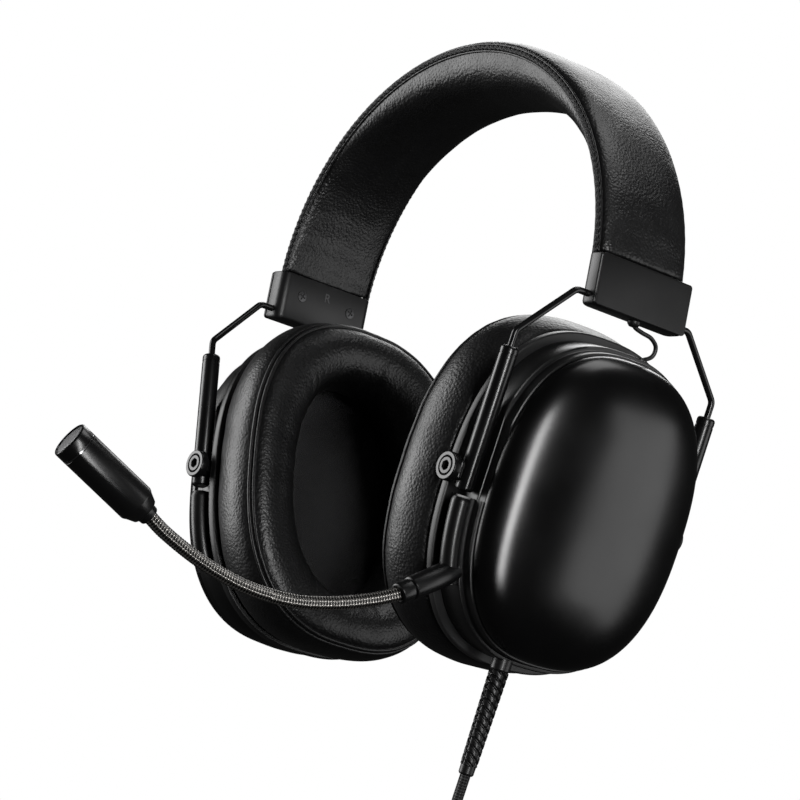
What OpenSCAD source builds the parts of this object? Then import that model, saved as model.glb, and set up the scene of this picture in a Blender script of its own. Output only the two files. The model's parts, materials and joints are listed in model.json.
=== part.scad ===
// Wired over-ear gaming headset: padded band, wire yokes, sliding cups, boom microphone, coiled lead.
// Units are millimetres. Origin: underside of the band's pad at the crown. The wearer faces -Y,
// the wearer's left is +X and up is +Z.

/* [Headband] */
// Radius of the stitched edge seam, from the arch's centre
band_r = 80; // [70:1:96]
// Width of the band, front seam to rear seam
band_w = 37; // [30:1:45]
// Pad thickness under the seam, at the crown
crown_pad_t = 15; // [8:0.5:18]
// Cover thickness above the seam, at the crown
crown_top_t = 4.6; // [4:0.2:9]
// Pad thickness inside the seam, at the end blocks
end_inner_t = 1.8; // [1.4:0.2:2.2]
// Cover thickness outside the seam, at the end blocks
end_outer_t = 4.8; // [3:0.2:5]
// Thickness of the spring steel strip
spring_t = 1.2; // [0.8:0.1:1.4]
// Width of the spring steel strip
spring_w = 24; // [16:1:26]

/* [End blocks] */
// Length of a block, front to rear
block_l = 40; // [36:1:48]
// Thickness of a block
block_t = 8; // [7.6:0.2:10]
// Height of a block
block_h = 17; // [14.6:0.2:22]
// Thickness of the inner cover plate
cover_t = 2; // [1.4:0.1:2.2]
// Spacing of the two cover screws
screw_gap = 22; // [18:1:26]

/* [Wire yokes] */
// Diameter of the bent steel wire
wire_d = 2.2; // [1.6:0.1:2.6]
// Distance from a yoke leg to the middle of the headset
leg_y = 43.9; // [43:0.1:52.7]
// Drop of the wire's outer bend below the block's wire hole
bend_drop = 18.5; // [16:0.5:24]
// Radial play of the wire in its sleeve
wire_play = 0.05; // [0.02:0.01:0.1]

/* [Sleeves] */
// Outside diameter of a sleeve tube
sleeve_d = 6; // [5:0.2:6.4]
// Length of a sleeve tube
sleeve_l = 47; // [42:1:56]
// Length of wire that shows above a sleeve, cups fully up
wire_show = 5.3; // [4.5:0.1:8]
// Distance from the tube's axis inwards to the cup pivot
pivot_in = 4.2; // [3.6:0.1:4.3]
// Distance from the pivot down to the tube's lower end
pivot_up = 5.8; // [4:0.2:7]
// Diameter of the pivot disc
disc_d = 9.4; // [8:0.2:11]
// Diameter of the pivot screw's shank
pin_d = 2.6; // [2:0.1:2.8]

/* [Ear cups] */
// Lean of the cups and sleeves, lower end inwards
cup_tilt = 11; // [6:0.5:14]
// Half width of the shell, front to rear
cup_a = 42.8; // [41:0.2:51.4]
// Half height of the shell
cup_b = 52.5; // [46:0.5:63]
// Wall thickness of the shells
wall = 2.2; // [1.6:0.1:2.6]
// Depth of the housing, from the ring to the dome's rim
housing_d = 14; // [12:0.5:18]
// Depth of the dome
dome_d = 14; // [10:0.5:20]
// Thickness of the trim ring
ring_t = 3.2; // [2.4:0.2:4]
// How far the trim ring stands out past the shell
ring_out = 2.8; // [2:0.2:3.4]
// Half width of the ear opening
ear_a = 23.5; // [20:0.5:27]
// Half height of the ear opening
ear_b = 36; // [30:0.5:40]
// Thickness of the ear cushion
cushion_t = 24; // [18:0.5:26]
// How far the cushion swells past the ring
swell = 4; // [2:0.5:5]
// Diameter of the driver
driver_d = 50; // [40:1:54]

/* [Microphone boom] */
// Diameter of the gooseneck
neck_d = 4.4; // [4:0.1:5]
// Diameter of the microphone's body
mic_d = 12.2; // [10:0.2:14]
// Length of the microphone's straight body
mic_l = 28.5; // [24:0.5:36]
// Length of the boot between the shell and the gooseneck
boot_l = 23; // [20:0.5:28]

/* [Lead] */
// Diameter of the braided lead
cord_d = 3.5; // [3:0.1:4]
// Length of the strain relief
relief_l = 37; // [30:1:44]
// Diameter across the middle of the coil's turns
coil_d = 39; // [36:1:44]
// Side of the coil's bundle of turns
coil_s = 14.6; // [13:0.2:16]
// Radius of the plug's jack pin
jack_r = 1.75; // [1.25:0.05:1.8]
// Length of the plug's jack pin
jack_l = 14; // [11:0.5:15]

/* [Hidden] */
$fn = 48;
SIDES = ["left", "right"];
SIDE_NODES = [
    "block_shell", "block_cover", "block_screws", "yoke_wire", "jumper_lead",
    "front_sleeve", "rear_sleeve", "pivot_screws", "cup_housing", "cup_dome", "trim_ring",
    "baffle", "driver_frame", "diaphragm", "magnet", "cup_screws", "ear_screen", "ear_cushion"];

gap = 0.3;                                   // clearance between pieces that don't share a fit
snug = 0.1;                                  // clearance between pieces screwed together
arch_z = crown_pad_t - band_r;               // height of the arch's centre
block_x = band_r + 1.4;                      // middle of a block
block_top = arch_z + 5;
bar_x = block_x;                             // the wire's straight stretch through the block
bar_z = block_top - block_h + 3.4;
bend_y = block_l / 2 + 5;                    // where the wire turns down, clear of the block
screw_z = block_top - 7;                     // height of the cover screws
screw_r = 0.9;                               // radius of the small screws' shanks
top_x = band_r - 1.5;                        // the wire's outer bend
top_z = bar_z - bend_drop;
rest_v = -1;                                 // middle of the cup, from the pivot
cup_room = 9;                                // height between a block and the cup's top, for the travel
// From the wire's outer bend to the pivot: longer legs where a taller cup needs them
leg_l = max(sleeve_l - pivot_up + wire_show,
    rest_v + cup_b + (cup_room - (block_top - block_h - top_z) + sin(cup_tilt) * pivot_in) / cos(cup_tilt));
pivot_x = top_x - sin(cup_tilt) * leg_l - cos(cup_tilt) * pivot_in;
pivot_z = top_z - cos(cup_tilt) * leg_l + sin(cup_tilt) * pivot_in;

jumper_w = 3;                                // where the jumper lead enters the cup
// A place in cup coordinates, in the headset's frame
function to_frame(p) = [pivot_x + p[0] * cos(cup_tilt) + p[2] * sin(cup_tilt), p[1],
    pivot_z - p[0] * sin(cup_tilt) + p[2] * cos(cup_tilt)];
// Cup coordinates: X outwards from the pivot, Y front to rear, Z along the sleeves
tube_w = pivot_in;                           // tube axis
side_y = leg_y - sleeve_d / 2 - 2 * gap;     // flat walls of the housing beside the tubes
ring_w = -(pin_d / 2 + 1.1);                 // ring's outer face
rim_w = ring_w + housing_d;                  // dome's rim
back_w = ring_w - ring_t;                    // cushion's seat
pocket_v = -pivot_up - 1.5;                  // floor of the pocket under a tube
disc_y0 = leg_y + sleeve_d / 2 + 2 * gap;    // inner face of the pivot disc
disc_y1 = disc_y0 + 3;
head_d = pin_d + 3.2;                        // pivot screw's head
bore_floor = 2.6;                            // floor of the sleeve's bore above the pivot
wire_end = bore_floor + 3.6;                 // wire's free end above the pivot

// A closed skin through rings of points, all with the same count
module skin(rings) {
    n = len(rings[0]);
    m = len(rings);
    polyhedron(
        points = [for (r = rings) for (p = r) p],
        faces = concat(
            [[for (i = [n - 1 : -1 : 0]) i]],
            [for (j = [0 : m - 2]) for (i = [0 : n - 1])
                [j * n + i, j * n + (i + 1) % n, (j + 1) * n + (i + 1) % n, (j + 1) * n + i]],
            [[for (i = [0 : n - 1]) (m - 1) * n + i]]));
}
// A skin whose last ring joins its first
module skin_loop(rings) {
    n = len(rings[0]);
    m = len(rings);
    polyhedron(
        points = [for (r = rings) for (p = r) p],
        faces = [for (j = [0 : m - 1]) for (i = [0 : n - 1])
            [j * n + i, j * n + (i + 1) % n,
             ((j + 1) % m) * n + (i + 1) % n, ((j + 1) % m) * n + i]]);
}

function unit(v) = v / norm(v);
// A point of a smooth curve through the control points at place t, counted in points
function spline(p, t) =
    let (n = len(p) - 1, i = min(floor(t), n - 1), f = t - i,
         a = p[max(i - 1, 0)], b = p[i], c = p[i + 1], d = p[min(i + 2, n)])
    0.5 * (2 * b + (c - a) * f + (2 * a - 5 * b + 4 * c - d) * f * f
        + (3 * b - a - 3 * c + d) * f * f * f);
function samples(p, per) = [for (k = [0 : per * (len(p) - 1)]) spline(p, k / per)];
function tangent(q, k) = unit(q[min(k + 1, len(q) - 1)] - q[max(k - 1, 0)]);
// Ring of 8 points across the curve; side is a direction that the curve never follows
function tube_ring(q, k, r, side) =
    let (t = tangent(q, k), u = unit(cross(t, side)), w = cross(t, u))
    [for (a = [0 : 45 : 315]) q[k] + r * (cos(a) * u + sin(a) * w)];
module tube(points, r, per, side) {
    q = samples(points, per);
    skin([for (k = [0 : len(q) - 1]) tube_ring(q, k, r, side)]);
}

// Rounded oval outline: x = a, y = b, with its fullness
fullness = 2.5;
function sgn_pow(x, p) = sign(x) * pow(abs(x), p);
function oval_at(a, b, t, n = fullness) = [a * sgn_pow(cos(t), 2 / n), b * sgn_pow(sin(t), 2 / n)];
function oval(a, b, n = fullness) = [for (t = [3.75 : 7.5 : 359]) oval_at(a, b, t, n)];

// Extrudes a front-to-rear outline outwards, between two places along the cup's X
module plate(w0, w1) {
    translate([w0, 0, 0]) rotate([90, 0, 90]) linear_extrude(w1 - w0) children();
}
// A rod along Y between two places
module rod_y(x, z, y0, y1, r) {
    translate([x, y0, z]) rotate([-90, 0, 0]) cylinder(h = y1 - y0, r = r);
}
// A rod along X between two places
module rod_x(y, z, x0, x1, r) {
    translate([x0, y, z]) rotate([0, 90, 0]) cylinder(h = x1 - x0, r = r);
}
// The left side's piece, or its mirror image
module on_side(side) {
    if (side == "left") children();
    else mirror([1, 0, 0]) children();
}
module on_cup(side) {
    on_side(side) translate([pivot_x, 0, pivot_z]) rotate([0, cup_tilt, 0]) children();
}
module front_and_rear() {
    children();
    mirror([0, 1, 0]) children();
}
// A round bar between two points, with a knuckle at its far end
module bar(a, b, r) {
    d = b - a;
    translate(a) rotate([0, acos(d[2] / norm(d)), atan2(d[1], d[0])]) cylinder(h = norm(d), r = r);
    translate(b) sphere(r = r + 0.04);
}

// ---- headband ----
// A pad's section: flat on the seam's side, with rounded edges on the other
function arch_section(inner, outer) =
    let (h = band_w / 2, t = outer - inner)
    [[-h, inner], [-h * 0.97, inner + 0.4 * t], [-h * 0.82, inner + 0.8 * t], [-h * 0.5, outer - 0.03 * t],
     [0, outer], [h * 0.5, outer - 0.03 * t], [h * 0.82, inner + 0.8 * t], [h * 0.97, inner + 0.4 * t],
     [h, inner]];
function arch_ring(a, section) =
    [for (p = section) [p[1] * cos(a), p[0], arch_z + p[1] * sin(a)]];
leg_a = -asin((arch_z - block_top - snug) / band_r);    // where the pads meet the blocks
function crown_share(a) = sin(a) * sin(a);
module spring_band() {
    color("dimgray") {
        rotate([90, 0, 0]) translate([0, arch_z, -spring_w / 2]) linear_extrude(spring_w)
            difference() {
                circle(r = band_r + spring_t / 2, $fn = 120);
                circle(r = band_r - spring_t / 2, $fn = 120);
                translate([-2 * band_r, -2 * band_r]) square([4 * band_r, 2 * band_r]);
            }
        for (s = [-1, 1]) difference() {
            translate([s * band_r - spring_t / 2, -spring_w / 2, bar_z + wire_d / 2 + 1])
                cube([spring_t, spring_w, arch_z - bar_z - wire_d / 2 - 1]);
            for (y = [-1, 1])
                rod_x(y * screw_gap / 2, screw_z, s * band_r - 2, s * band_r + 2, screw_r + 2 * snug);
        }
    }
}
module crown_cover() {
    r0 = band_r + spring_t / 2 + snug;
    color("black") skin([for (a = [leg_a : (180 - 2 * leg_a) / 32 : 180.01 - leg_a])
        arch_ring(a, arch_section(r0, band_r + end_outer_t + (crown_top_t - end_outer_t) * crown_share(a)))]);
}
module crown_pad() {
    r0 = band_r - spring_t / 2 - snug;
    color("black") skin([for (a = [180 - leg_a : -(180 - 2 * leg_a) / 32 : leg_a - 0.01])
        arch_ring(a, arch_section(r0, band_r - end_inner_t - (crown_pad_t - end_inner_t) * pow(sin(a), 2)))]);
}

// ---- end blocks and wires ----
block_x0 = block_x - block_t / 2;
block_z0 = block_top - block_h;
module block_body(x0, x1, inset) {
    translate([x0, -block_l / 2 + inset, block_z0 + inset])
        cube([x1 - x0, block_l - 2 * inset, block_h - 2 * inset]);
}
module wire_hole() {
    rod_y(bar_x, bar_z, -block_l, block_l, wire_d / 2 + snug / 2);
}
module spring_slot() {
    translate([band_r - spring_t / 2 - gap, -spring_w / 2 - gap, bar_z + wire_d / 2 + 1 - snug])
        cube([spring_t + 2 * gap, spring_w + 2 * gap, block_h]);
}
module cover_screw_places() {
    for (y = [-1, 1]) translate([block_x0, y * screw_gap / 2, screw_z]) rotate([0, 90, 0]) children();
}
module block_shell(side) {
    color("#1c1c1e") on_side(side) difference() {
        block_body(block_x0 + cover_t, block_x0 + block_t, 0);
        wire_hole();
        spring_slot();
        cover_screw_places() cylinder(h = block_t - 1, r = screw_r);
    }
}
module block_cover(side) {
    color("#202022") on_side(side) difference() {
        block_body(block_x0, block_x0 + cover_t, 0);
        wire_hole();
        spring_slot();
        cover_screw_places() {
            translate([0, 0, -1]) cylinder(h = cover_t + 2, r = 1.3);
            translate([0, 0, -1]) cylinder(h = 2, r = 2.1);
        }
    }
}
module block_screws(side) {
    color("silver") on_side(side) cover_screw_places() difference() {
        union() {
            translate([0, 0, 0.1]) cylinder(h = 0.8, r = 2);
            cylinder(h = block_t - 2.5, r = screw_r);
        }
        translate([-1.2, -0.25, -1]) cube([2.4, 0.5, 1.5]);
        translate([-0.25, -1.2, -1]) cube([0.5, 2.4, 1.5]);
    }
}
leg_dir = [sin(cup_tilt), 0, cos(cup_tilt)];
leg_top = [top_x, leg_y, top_z];
leg_end = leg_top - leg_dir * (leg_l - wire_end);
module yoke_wire(side) {
    r = wire_d / 2;
    color("#303032") on_side(side) {
        rod_y(bar_x, bar_z, -bend_y, bend_y, r);
        front_and_rear() {
            translate([bar_x, bend_y, bar_z]) sphere(r = r + 0.04);
            bar([bar_x, bend_y, bar_z], leg_top, r);
            translate(leg_end) rotate([0, cup_tilt, 0]) cylinder(h = norm(leg_top - leg_end), r = r);
        }
    }
}

// ---- jumper lead between a block and its cup ----
jumper_d = 1.6;
jumper_points = [[-0.4, 0.5, 0], [-0.4, 2, -1.4], [-0.4, 6, -2], [-0.7, 10.5, -2.7], [-1.2, 14, -5.2],
    [-2, 13.8, -8.6]];
jumper_foot = to_frame([jumper_w, 10, rest_v + 0.988 * cup_b + 0.8]);
module jumper_lead(side) {
    points = [for (p = jumper_points) [block_x, 0, block_z0] + p];
    color("#252528") on_side(side) tube(concat(points, [jumper_foot]), jumper_d / 2, 4, [1, 0, 0]);
}

// ---- sleeves and pivots ----
module sleeve() {
    difference() {
        union() {
            translate([tube_w, leg_y, -pivot_up]) cylinder(h = sleeve_l, r = sleeve_d / 2);
            rod_y(0, 0, disc_y0, disc_y1, disc_d / 2);
            translate([-pin_d / 2 - 0.45, leg_y - sleeve_d / 2 + 0.4, -2.2])
                cube([tube_w + pin_d / 2 + 0.45, sleeve_d / 2 + disc_y0 - leg_y, 4.4]);
            translate([0, leg_y, -3.4]) cube([tube_w, disc_y1 - leg_y - 0.6, 6.8]);
        }
        translate([tube_w, leg_y, bore_floor]) cylinder(h = sleeve_l, r = wire_d / 2 + wire_play);
        rod_y(0, 0, leg_y - sleeve_d, disc_y1 + 1, pin_d / 2 + 0.06);
        rod_y(0, 0, disc_y1 - 1.8, disc_y1 + 1, head_d / 2 + snug);
    }
}
module front_sleeve(side) {
    color("#222224") on_cup(side) mirror([0, 1, 0]) sleeve();
}
module rear_sleeve(side) {
    color("#222224") on_cup(side) sleeve();
}
module pivot_screws(side) {
    color("#3a3a3c") on_cup(side) front_and_rear() difference() {
        union() {
            rod_y(0, 0, side_y - 6, disc_y1 - 1, pin_d / 2);
            rod_y(0, 0, disc_y1 - 1.8 + snug, disc_y1 + 0.1, head_d / 2);
        }
        translate([0, disc_y1 - 1, 0]) rotate([-90, 0, 0]) cylinder(h = 2, r = 1.3, $fn = 6);
    }
}

// ---- cup shells ----
module beside_tubes(inset) {
    front_and_rear()
        translate([ring_w - 1, side_y - inset, pocket_v - inset])
            cube([rim_w + dome_d, cup_a, 2 * cup_b]);
}
module shell_plate(w0, w1, inset) {
    plate(w0, w1) translate([0, rest_v]) polygon(oval(cup_a - inset, cup_b - inset));
}
post_y = 27;
post_v = 34;
module post_places() {
    for (y = [-1, 1]) for (v = [-1, 1]) translate([0, y * post_y, rest_v + v * post_v]) children();
}
baffle_t = 2;
shoulder_w = rim_w - 4;                       // where the housing steps in towards the dome
shoulder_in = (cup_a - side_y) * 0.6;
ridge_r = sleeve_d / 2 + 0.2;
ridge_l = 25;
// A rounded bead that follows the shell's outline down from each pocket
ridge_steps = [[1, 1.8], [0.8, 3], [0.45, 4.1]];
module ridges() {
    intersection() {
        for (s = ridge_steps) shell_plate(tube_w - ridge_r * s[0], tube_w + ridge_r * s[0], -s[1]);
        translate([ring_w, -2 * cup_a, pocket_v - ridge_l - 0.6]) cube([rim_w, 4 * cup_a, ridge_l]);
    }
}
module housing_cavity() {
    difference() {
        union() {
            shell_plate(ring_w - 1, shoulder_w - wall, wall);
            shell_plate(ring_w - 1, rim_w + 1, wall + shoulder_in);
        }
        beside_tubes(wall);
    }
}
module cup_housing(side) {
    color("#18181a") on_cup(side) {
        difference() {
            union() {
                shell_plate(ring_w, shoulder_w, 0);
                shell_plate(ring_w, rim_w, shoulder_in);
                ridges();
            }
            beside_tubes(0);
            housing_cavity();
            if (side == "left") boot_hole();
            if (side == "left") relief_hole();
            front_and_rear() rod_y(0, 0, side_y - wall - 1, side_y + 1, pin_d / 2);
        }
        front_and_rear() difference() {
            rod_y(0, 0, side_y - 7, side_y - wall, pin_d / 2 + 1.2);
            rod_y(0, 0, side_y - 8, side_y, pin_d / 2);
            translate([ring_w - 10, 0, -20]) cube([10 + baffle_t + snug, cup_a, 40]);
        }
        difference() {
            post_places() rod_x(0, 0, ring_w + baffle_t + snug, rim_w, 2.8);
            post_places() rod_x(0, 0, ring_w, rim_w - 2, 1.1);
        }
        if (side == "left") board_slots();
    }
}
// The dome's outline shrinks along its depth as a rounded pillow
dome_in = cup_a - side_y - 0.2;
dome_steps = [0, 0.15, 0.3, 0.45, 0.6, 0.75, 0.88, 0.96, 1];
module pillow(inset, depth) {
    hull() for (s = dome_steps)
        let (k = max(pow(1 - pow(s, 2.2), 0.5), 0.25), in = dome_in + inset)
        shell_plate(rim_w + s * depth, rim_w + s * depth + 0.02, in + (cup_a - in) * (1 - k));
}
module cup_dome(side) {
    color("#101012") on_cup(side) difference() {
        pillow(0, dome_d);
        translate([-0.01, 0, 0]) pillow(wall, dome_d - wall);
    }
}
module trim_ring(side) {
    color("#5a5a5c") on_cup(side) difference() {
        plate(back_w, ring_w) translate([0, rest_v]) polygon(oval(cup_a + ring_out, cup_b + ring_out));
        plate(back_w - 1, ring_w + 1) translate([0, rest_v]) polygon(oval(ear_a + 5, ear_b + 5));
        post_places() rod_x(0, 0, back_w - 1, ring_w + 1, 3);
    }
}
module baffle(side) {
    color("#2a2a2c") on_cup(side) difference() {
        shell_plate(ring_w, ring_w + baffle_t, wall + 2.9);
        rod_x(0, rest_v, ring_w - 1, ring_w + baffle_t + 1, driver_d / 2 - 4);
        post_places() rod_x(0, 0, ring_w - 1, ring_w + baffle_t + 1, 1.4);
        front_and_rear() rod_y(0, 0, side_y - 8, cup_a, pin_d / 2 + gap);
    }
}
module cup_screws(side) {
    color("silver") on_cup(side) post_places() {
        rod_x(0, 0, ring_w - 1.2, ring_w - snug / 2, 2.4);
        rod_x(0, 0, ring_w - 0.5, ring_w + 8, 1.1);
    }
}

// ---- driver ----
frame_w = ring_w + baffle_t + snug / 2;
module around_driver() {
    translate([frame_w, 0, rest_v]) rotate([0, 90, 0]) children();
}
module driver_frame(side) {
    color("#3c3c3e") on_cup(side) around_driver() rotate_extrude() polygon([
        [driver_d / 2 - 3, 0], [driver_d / 2, 0], [driver_d / 2, 1.5], [driver_d / 2 - 4, 4],
        [12, 6], [6, 6], [6, 5], [12, 5], [driver_d / 2 - 5, 3]]);
}
module diaphragm(side) {
    color("#8a7a5a") on_cup(side) around_driver() rotate_extrude() polygon([
        [0, 0.9], [6, 1.3], [8, 2.2], [14, 0.7], [driver_d / 2 - 4, 0.9], [driver_d / 2 - 4, 1.1],
        [14, 0.9], [8, 2.4], [6, 1.5], [0, 1.1]]);
}
module magnet(side) {
    color("#707074") on_cup(side) around_driver() translate([0, 0, 6]) difference() {
        cylinder(h = 4.5, r = 11);
        translate([0, 0, -1]) cylinder(h = 4, r = 6);
    }
}

// ---- soft parts ----
module ear_screen(side) {
    color("#141416") on_cup(side)
        plate(back_w - 0.8, back_w) translate([0, rest_v]) polygon(oval(ear_a + 8, ear_b + 8));
}
// Cushion section: share of the way from the ear opening to the outside, and share of the thickness
cushion_section = [[0.42, 0], [0.94, 0], [1, 0.15], [1 + swell / 24, 0.45], [1 + swell / 30, 0.72],
    [0.96, 0.9], [0.72, 1], [0.36, 0.96], [0.12, 0.8], [0, 0.55], [0.04, 0.25], [0.2, 0.08]];
module ear_cushion(side) {
    out_a = cup_a + ring_out;
    out_b = cup_b + ring_out;
    front_w = back_w - 0.8 - snug;
    rings = [for (t = [0 : 10 : 350])
        let (i = oval_at(ear_a, ear_b, t + 5, 2.3), o = oval_at(out_a, out_b, t + 5))
        [for (p = cushion_section)
            let (q = i + (o - i) * p[0]) [front_w - p[1] * cushion_t, q[0], rest_v + q[1]]]];
    color("#0c0c0e") on_cup(side) skin_loop(rings);
}

// ---- microphone boom, in cup coordinates ----
boot_d = 7.6;
boot_from = [tube_w, -leg_y + 4.5, pocket_v - 24];
boot_to = [6.2, -57.6, -42.2];
boot_dir = unit(boot_to - boot_from);
collar_l = 5;
// The gooseneck's route from the collar to the microphone
boom = [[6.2, -57.6, -42.2], [5, -66, -46.2], [3.2, -77, -50.2], [1.1, -88.5, -53], [-1.2, -98.5, -53.8],
    [-3.8, -109, -53.2], [-7.4, -122, -50.2], [-11.2, -134.5, -45.4], [-13.6, -141.2, -41.6]];
boom_mid = 4;                                 // the point where the gooseneck's two parts meet
mic_dir = unit([-0.29, -0.86, 0.43]);
cone_l = 5;
module along(at, dir) {
    translate(at) rotate([0, acos(dir[2] / norm(dir)), atan2(dir[1], dir[0])]) children();
}
module boot_hole() {
    along(boot_from - boot_dir, boot_dir) cylinder(h = 14, r = boot_d / 2 + snug / 2);
}
module mic_boot() {
    l = norm(boot_to - boot_from);
    color("#161618") on_cup("left") along(boot_from, boot_dir) {
        cylinder(h = l - collar_l, r = boot_d / 2);
        translate([0, 0, l - collar_l]) difference() {
            cylinder(h = collar_l, r = boot_d / 2 - 0.5);
            translate([0, 0, collar_l]) sphere(r = knuckle_r + snug);
        }
    }
}
boom_rings = 3;                               // rings between two points of the route
knuckle_r = neck_d / 2 + 0.55;                // the ball that turns in the boot's end
bend_r = neck_d / 2 + 0.04;                   // the ball in the middle of the gooseneck
// The stretch of the gooseneck between two points of its route
module gooseneck(from, to) {
    q = samples(boom, boom_rings);
    skin([for (k = [from * boom_rings : to * boom_rings]) tube_ring(q, k, neck_d / 2, [1, 0, 0])]);
}
// Rings of a ball on the route, between two angles from the end it starts at
function ball_rings(q, k, dir, r, angles) =
    [for (a = angles) [for (p = tube_ring(q, k, r * sin(a), [1, 0, 0])) p - dir * r * cos(a)]];
module gooseneck_root() {
    q = samples(boom, boom_rings);
    last = boom_mid * boom_rings;
    color("#4a4a4a") on_cup("left") skin(concat(
        ball_rings(q, 0, unit(q[1] - q[0]), knuckle_r, [15 : 15 : 120]),
        [for (k = [1 : last - 1]) tube_ring(q, k, neck_d / 2, [1, 0, 0])],
        ball_rings(q, last, unit(q[last + 1] - q[last - 1]), bend_r, [80 : 14 : 165])));
}
module gooseneck_tip() {
    color("#4a4a4a") on_cup("left") difference() {
        gooseneck(boom_mid, len(boom) - 1);
        translate(boom[boom_mid]) sphere(r = bend_r + snug);
    }
}
module at_mic() {
    on_cup("left") along(boom[len(boom) - 1], mic_dir) children();
}
mic_wall = 1;
grille_t = 1;
module mic_body() {
    color("#141416") at_mic() difference() {
        rotate_extrude() polygon([[0, 0], [neck_d / 2 + 1, 0], [mic_d / 2, cone_l],
            [mic_d / 2, cone_l + mic_l], [0, cone_l + mic_l]]);
        translate([0, 0, cone_l + 4]) cylinder(h = mic_l, r = mic_d / 2 - mic_wall);
    }
}
module mic_grille() {
    color("#7a7a7c") at_mic() translate([0, 0, cone_l + mic_l - grille_t - 0.3])
        cylinder(h = grille_t, r = mic_d / 2 - mic_wall - snug / 2);
}
module mic_element() {
    color("silver") at_mic() translate([0, 0, cone_l + mic_l - grille_t - 6])
        cylinder(h = 5, r = mic_d / 2 - mic_wall - 0.25);
}
board = [1.6, 30, 12];                        // thickness, width and height of the terminal board
board_v = rest_v - cup_b + 7;
board_w = rim_w - 6;
module board_slots() {
    for (y = [-1, 1]) difference() {
        translate([board_w - 1.2, y * board[1] / 2 - 1.5, rest_v - cup_b + wall + shoulder_in + 0.6])
            cube([board[0] + 2.4, 3, 6]);
        translate([board_w - snug / 2, -cup_a, board_v]) cube([board[0] + snug, 2 * cup_a, 9]);
    }
}
module terminal_board() {
    color("#2f5a3a") on_cup("left") translate([board_w, -board[1] / 2, board_v]) cube(board);
}

// ---- lead ----
relief_w = 5;
relief_y = -8;
relief_top = rest_v - cup_b - 0.2;
relief_d = 6.6;
relief_ribs = 13;
relief_neck = wall + shoulder_in + 1.5;       // from the shell's outside to the inner flange
module relief_hole() {
    translate([relief_w, relief_y, relief_top - 1]) cylinder(h = 9, r = cord_d / 2 + 0.8 + snug);
}
// Ribs stand along a tapering core, from the shoulder to the tip
module strain_relief() {
    pitch = (relief_l - 3) / relief_ribs;
    color("#1a1a1c") on_cup("left") translate([relief_w, relief_y, relief_top]) {
        translate([0, 0, -3]) cylinder(h = 3, r = relief_d / 2);
        translate([0, 0, -0.5]) cylinder(h = relief_neck + 0.6, r = cord_d / 2 + 0.8);
        translate([0, 0, relief_neck]) cylinder(h = 1.2, r = cord_d / 2 + 2.2);
        translate([0, 0, -relief_l]) cylinder(h = relief_l - 2, r = cord_d / 2 + 0.55);
        for (k = [0 : relief_ribs - 1])
            translate([0, 0, -3 - (k + 1) * pitch + 0.3])
                cylinder(h = pitch * 0.66, r = relief_d / 2 - 0.06 * k);
    }
}
// The lead's route, from the tip of the strain relief
cord_from = to_frame([relief_w, relief_y, relief_top - relief_l]);
cord_route = [[0, 0, 0], [-1, 0, -5], [-2, 0, -10.2], [-2.7, 0, -15], [-3, 0, -20], [-3, 0, -24]];
coil_at = [-3 - coil_d / 2, 0, -42];
tail_route = [[-3, 0, -24.5], [-8, 0, -27], [-11.5, 0, -31], [-13, 0, -36], [-13, 0, -41]];
cord_rings = 2;
coil_r = coil_d / 2 + coil_s / 2;
module cord_lead() {
    color("#2c2c2e") translate(cord_from) tube(cord_route, cord_d / 2, cord_rings, [0, 1, 0]);
}
module cord_coil() {
    s = coil_s / 2;
    c = s * 0.45;
    color("#2c2c2e") translate(cord_from + coil_at) rotate([90, 0, 0]) rotate_extrude($fn = 72)
        translate([coil_d / 2, 0]) polygon([[-s, -c], [-c, -s], [c, -s], [s, -c], [s, c], [c, s], [-c, s], [-s, c]]);
}
module coil_tie() {
    s = coil_s / 2 + 0.2;
    color("#151517") translate(cord_from + coil_at) rotate([0, -15, 0]) translate([0, 0, coil_d / 2])
        difference() {
            cube([7, 2 * s + 1.6, 2 * s + 2.2], center = true);
            cube([8, 2 * s, 2 * s + 0.6], center = true);
        }
}
module cord_tail() {
    color("#2c2c2e") translate(cord_from + coil_at) tube(tail_route, cord_d / 2, cord_rings, [0, 1, 0]);
}
plug_d = 8;
plug_l = 22;
plug_relief = 9;
module plug_at() {
    translate(cord_from + coil_at + tail_route[len(tail_route) - 1]) children();
}
module plug_body() {
    color("#1a1a1c") plug_at() {
        translate([0, 0, -plug_relief]) cylinder(h = plug_relief, r = cord_d / 2 + 0.8);
        translate([0, 0, -plug_relief - plug_l]) cylinder(h = plug_l, r = plug_d / 2);
    }
}
// Four-contact jack pin, with its insulating rings left plain
module plug_jack() {
    color("gold") plug_at() translate([0, 0, -plug_relief - plug_l - jack_l]) {
        translate([0, 0, 3.2]) cylinder(h = jack_l - 3.2, r = jack_r);
        rotate_extrude() polygon([[0, 0], [0.5, 0], [jack_r - 0.1, 1.9], [jack_r - 0.6, 3.2], [0, 3.2]]);
    }
}

spring_band();
crown_cover();
crown_pad();
for (s = SIDES) {
    block_shell(s);
    block_cover(s);
    block_screws(s);
    yoke_wire(s);
    jumper_lead(s);
    front_sleeve(s);
    rear_sleeve(s);
    pivot_screws(s);
    cup_housing(s);
    cup_dome(s);
    trim_ring(s);
    baffle(s);
    driver_frame(s);
    diaphragm(s);
    magnet(s);
    cup_screws(s);
    ear_screen(s);
    ear_cushion(s);
}
terminal_board();
mic_boot();
gooseneck_root();
gooseneck_tip();
mic_body();
mic_grille();
mic_element();
strain_relief();
cord_lead();
cord_coil();
coil_tie();
cord_tail();
plug_body();
plug_jack();
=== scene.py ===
import json
import math

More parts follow.
